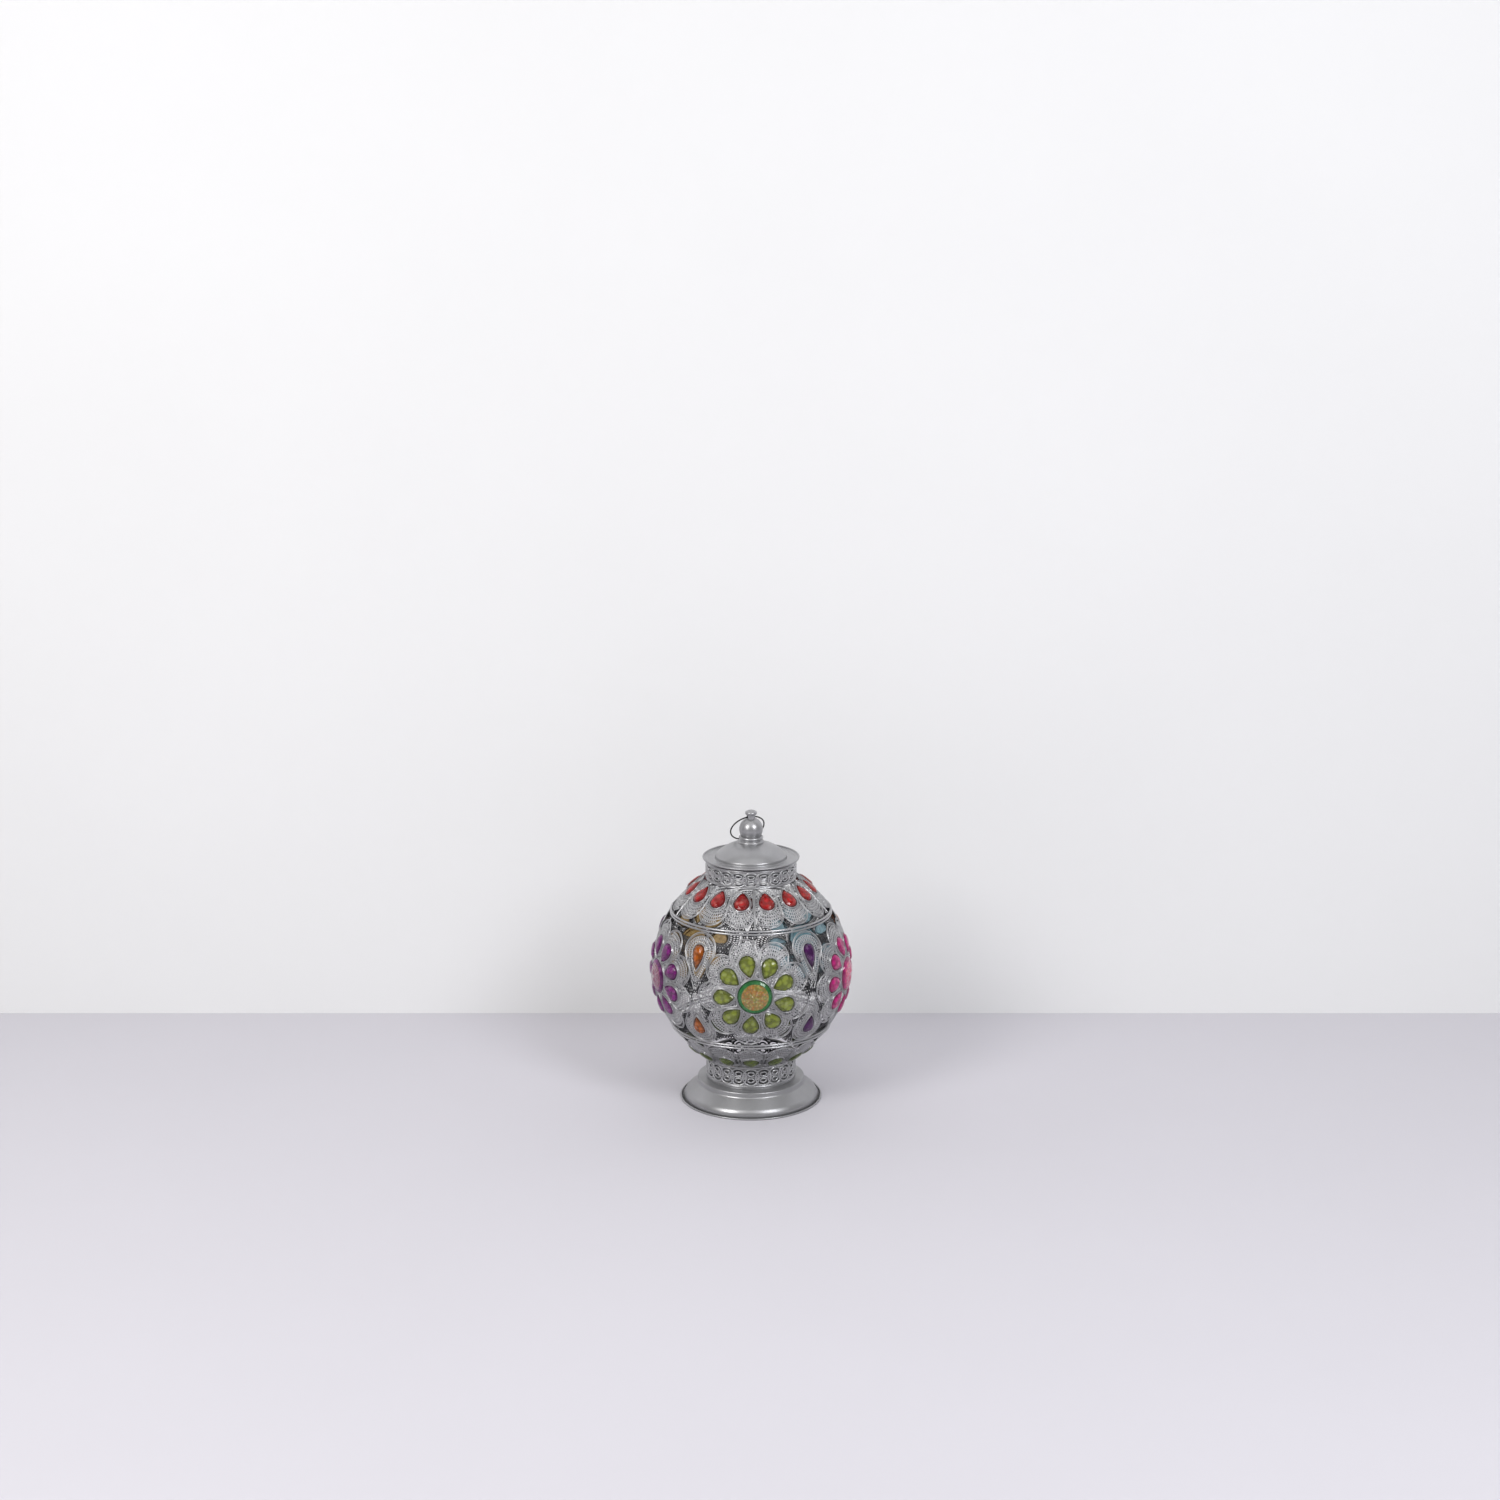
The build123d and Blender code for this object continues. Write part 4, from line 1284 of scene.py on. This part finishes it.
def cut_stone(radius, tip, rise, material):
    """A drop-shaped stone drawn flat: a low wall, two rings of facets, and a raised table."""
    levels = (                         # share of the outline, and height
        (1.0, -STONE_SINK),
        (1.0, 0.25 * rise),
        (0.84, 0.66 * rise),
        (0.60, 0.93 * rise),
        (0.30, rise),
    )
    bm = bmesh.new()
    rings = []
    for share, z in levels:
        outline = drop_outline(radius * share, tip * share, 0.0, 13) * [1, -1]
        rings.append([bm.verts.new((x, y, z)) for x, y in outline])
    count = len(rings[0])
    for level, (low, high) in enumerate(zip(rings, rings[1:])):
        for k in range(count):
            n = (k + 1) % count
            if level not in (1, 2):
                bm.faces.new((low[k], low[n], high[n], high[k]))
            elif (k + level) % 2:
                bm.faces.new((low[k], low[n], high[n]))
                bm.faces.new((low[k], high[n], high[k]))
            else:
                bm.faces.new((low[k], low[n], high[k]))
                bm.faces.new((low[n], high[n], high[k]))
    return closed_stone(bm, rings, [material])


def closed_stone(bm, rings, materials):
    """Closes a stone's top, which has its last material, and its back."""
    bm.faces.new(rings[-1]).material_index = len(materials) - 1
    bm.faces.new(rings[0][::-1])
    bmesh.ops.recalc_face_normals(bm, faces=bm.faces)
    mesh = mesh_of(bm, "stone", materials)
    store_height(mesh)
    return mesh


def centre_stone(radius, rise, rim, middle):
    """A round stone: a clear faceted border and a mottled middle with fine radial cuts."""
    sides = 36
    turns = np.arange(sides) * 2 * math.pi / sides
    shares = (                         # share of the radius, height, and whether it is cut
        (1.0, -STONE_SINK, 0),
        (1.0, 0.22 * rise, 0),
        (0.93, 0.62 * rise, 0),
        (0.80, 0.80 * rise, 0),
        (0.76, 0.70 * rise, 0),
        (0.62, 0.86 * rise, 1),
        (0.36, 0.95 * rise, 1),
        (0.12, rise, 1),
    )
    bm = bmesh.new()
    streak = bm.verts.layers.float.new("streak")
    rings = []
    for share, z, cut in shares:
        ring = []
        for k, turn in enumerate(turns):
            ridge = cut * 0.02 * rise * (1 if k % 2 else -1)
            r = radius * share
            vert = bm.verts.new((r * math.cos(turn), r * math.sin(turn), z + ridge))
            vert[streak] = k % 2
            ring.append(vert)
        rings.append(ring)
    for level, (low, high) in enumerate(zip(rings, rings[1:])):
        for k in range(sides):
            n = (k + 1) % sides
            face = bm.faces.new((low[k], low[n], high[n], high[k]))
            face.material_index = 1 if level >= 4 else 0
    return closed_stone(bm, rings, [rim, middle])


def stone_bezel(kit, radius, tip, wire):
    """The setting of a stone, drawn flat: a bright upper wire and a lower one at the sheet."""
    lace = Lace(kit, "bezel")
    for grow, lift, size in ((0.55, 1.25, 0.9), (0.85, 0.35, 1.0)):
        if tip > radius:
            outline = drop_outline(radius, tip, grow, 44) * [1, -1]
        else:
            outline = arc_points((0, 0), radius + grow, 0, 2 * math.pi, 65)[:-1]
        lace.add_wire(outline, wire * size, lift, closed=True)
    return lace.mesh()


def on_slopes(flat, side):
    """Copies of a flat piece at every stone of a sloping section."""

    def place(co, clock):
        along = turned(co[:, :2] + [0, SLOPE_STONE_Y], clock, SLOPE_APEX)
        return np.column_stack([along, co[:, 2]])

    return [
        segment(flat, side, k, partial(place, clock=clock))
        for k in range(SIDES)
        for clock in DROP_CLOCKS
    ]


class LANTERN_OT_add_stones(BuildStep, bpy.types.Operator):
    """Cuts and sets the stones of the flowers, the leaves and the sloping sections."""

    bl_idname = "lantern.add_stones"
    bl_label = "Add Stones"

    PETAL_RISE = 3.7
    CENTRE_RISE = 4.7
    ACCENT_RISE = 3.5
    DROP_RISE = 3.3

    def build(self, kit, scene):
        for k, name in enumerate(COLOURS):
            petal = cut_stone(*PETAL, self.PETAL_RISE, kit[name])
            petals = joined(on_petals(petal, k), "petals")
            piece(f"petals_{name}", petals, BODY, ["petal_stones_" + name])
            rim = kit["green rim"] if name == "green" else kit[name]
            centre = centre_stone(CENTRE_R, self.CENTRE_RISE, rim, kit[name + " middle"])
            centre = wrapped(centre, partial(on_globe, spin=k * SECTOR))
            piece(f"centre_{name}", centre, BODY, ["centre_stone_" + name])
        groups = {tone: [] for tone in sorted(set(ACCENT_TONES))}
        for side, k, place in leaf_places():
            tone = ACCENT_TONES[k]
            stone = cut_stone(*ACCENT[side], self.ACCENT_RISE, kit[tone])
            groups[tone].append(wrapped(stone, place))
        for tone, stones in groups.items():
            mesh = joined(stones, tone)
            piece("accents_" + tone, mesh, BODY, ["accent_stones_" + tone])
        for side, tone in (("lower", "olive"), ("upper", "red")):
            stone = cut_stone(*SLOPE_STONE, self.DROP_RISE, kit[tone])
            mesh = joined(on_slopes(stone, side), "drops")
            piece(side + "_drops", mesh, BODY, [side + "_stones"])


class LANTERN_OT_add_bezels(BuildStep, bpy.types.Operator):
    """Bends the wire settings of all the stones."""

    bl_idname = "lantern.add_bezels"
    bl_label = "Add Bezels"

    def build(self, kit, scene):
        wire = lace_sizes(scene)["bezel"]
        petal = stone_bezel(kit, *PETAL, wire)
        centre = stone_bezel(kit, CENTRE_R, CENTRE_R, wire * 1.15)
        for k, name in enumerate(COLOURS):
            settings = on_petals(petal, k) + [wrapped(centre, partial(on_globe, spin=k * SECTOR))]
            mesh = joined(settings, "bezels")
            piece(f"settings_{name}", mesh, BODY, ["flower_bezels_" + name])
        accents = {side: stone_bezel(kit, *stone, wire) for side, stone in ACCENT.items()}
        settings = [wrapped(accents[side], place) for side, _, place in leaf_places()]
        mesh = joined(settings, "bezels")
        piece("settings_accents", mesh, BODY, ["accent_bezels"])
        for side in SLOPE_TURN:
            settings = on_slopes(stone_bezel(kit, *SLOPE_STONE, wire), side)
            mesh = joined(settings, "bezels")
            piece(f"settings_{side}", mesh, BODY, [side + "_bezels"])


# ---- studio -----------------------------------------------------------------------------------


def plane(name, size, place, turn, material):
    """A flat square of the studio."""
    bm = bmesh.new()
    bmesh.ops.create_grid(bm, x_segments=1, y_segments=1, size=size / 2)
    linked(name, mesh_of(bm, name, [material]), place, turn)


def softbox(name, place, aim, size, watts, tone=(1, 1, 1)):
    """A rectangular light that faces its aim."""
    light = bpy.data.lights.new(name, "AREA")
    light.shape = "RECTANGLE"
    light.size, light.size_y = size
    light.energy = watts
    light.color = tone
    away = mathutils.Vector(aim) - mathutils.Vector(place)
    linked(name, light, place, away.to_track_quat("-Z", "Y").to_euler())


class LANTERN_OT_add_studio(BuildStep, bpy.types.Operator):
    """Sets the floor, the wall, the lights and the camera."""

    bl_idname = "lantern.add_studio"
    bl_label = "Add Studio"

    MIDDLE = (0, 0, 0.15)              # what the softboxes face
    WORLD_LIGHT = 0.31

    def build(self, kit, scene):
        stage = scene.lantern_stage
        plane("floor", 24, (0, 0, 0), (0, 0, 0), stage_material("Floor", (0.60, 0.585, 0.63)))
        wall = stage_material("Wall", (0.80, 0.80, 0.805), one_sided=True)
        plane("wall", 12, (0, stage.wall_back, 6), (math.pi / 2, 0, 0), wall)
        for name, *light in (
            ("left softbox", (-1.25, -1.35, 1.35), self.MIDDLE, (0.7, 0.9), 21, (1, 0.99, 0.97)),
            ("right softbox", (1.15, -1.45, 1.40), self.MIDDLE, (0.6, 0.9), 20, (0.97, 0.98, 1)),
            ("ceiling", (0, -1.4, 3.0), (0, 0.2, 0), (3.6, 3.0), 22),
        ):
            softbox(name, *light)
        world = bpy.data.worlds.new("Studio")
        world.use_nodes = True
        sky = next(n for n in world.node_tree.nodes if n.type == "BACKGROUND")
        sky.inputs["Color"].default_value = (1, 1, 1, 1)
        sky.inputs["Strength"].default_value = self.WORLD_LIGHT
        scene.world = world
        camera = bpy.data.cameras.new("Camera")
        camera.lens = stage.lens
        camera.sensor_width = 36
        place = (-0.001, -stage.camera_back, stage.camera_high)
        tilt = (math.pi / 2 - stage.camera_tilt, 0, 0)
        scene.camera = linked("Camera", camera, place, tilt)
        scene.view_settings.view_transform = "Standard"


OPERATORS = (
    LANTERN_OT_add_foot,
    LANTERN_OT_add_collars,
    LANTERN_OT_add_sloping_sections,
    LANTERN_OT_add_struts,
    LANTERN_OT_add_flowers,
    LANTERN_OT_add_leaves,
    LANTERN_OT_add_edge_wires,
    LANTERN_OT_add_bezels,
    LANTERN_OT_add_stones,
    LANTERN_OT_add_lid,
    LANTERN_OT_add_finial,
    LANTERN_OT_add_ring,
    LANTERN_OT_add_studio,
)


class LANTERN_PT_build(bpy.types.Panel):
    """Lists the lantern's settings and the operators that build it."""

    bl_label = "Lantern"
    bl_idname = "LANTERN_PT_build"
    bl_space_type = "VIEW_3D"
    bl_region_type = "UI"
    bl_category = "Lantern"

    def draw(self, context):
        for name in ("lantern_lace", "lantern_colours", "lantern_stage"):
            settings = getattr(context.scene, name)
            box = self.layout.box()
            for key in settings.__annotations__:
                box.prop(settings, key)
        for operator in OPERATORS:
            self.layout.operator(operator.bl_idname)


CLASSES = (LaceSettings, ColourSettings, StageSettings, *OPERATORS, LANTERN_PT_build)


def register():
    for one in CLASSES:
        bpy.utils.register_class(one)
    bpy.types.Scene.lantern_lace = bpy.props.PointerProperty(type=LaceSettings)
    bpy.types.Scene.lantern_colours = bpy.props.PointerProperty(type=ColourSettings)
    bpy.types.Scene.lantern_stage = bpy.props.PointerProperty(type=StageSettings)


def unregister():
    del bpy.types.Scene.lantern_lace
    del bpy.types.Scene.lantern_colours
    del bpy.types.Scene.lantern_stage
    for one in reversed(CLASSES):
        bpy.utils.unregister_class(one)


def main():
    register()
    for operator in OPERATORS:
        group_name, call = operator.bl_idname.split(".")
        getattr(getattr(bpy.ops, group_name), call)()


if __name__ == "__main__":
    main()
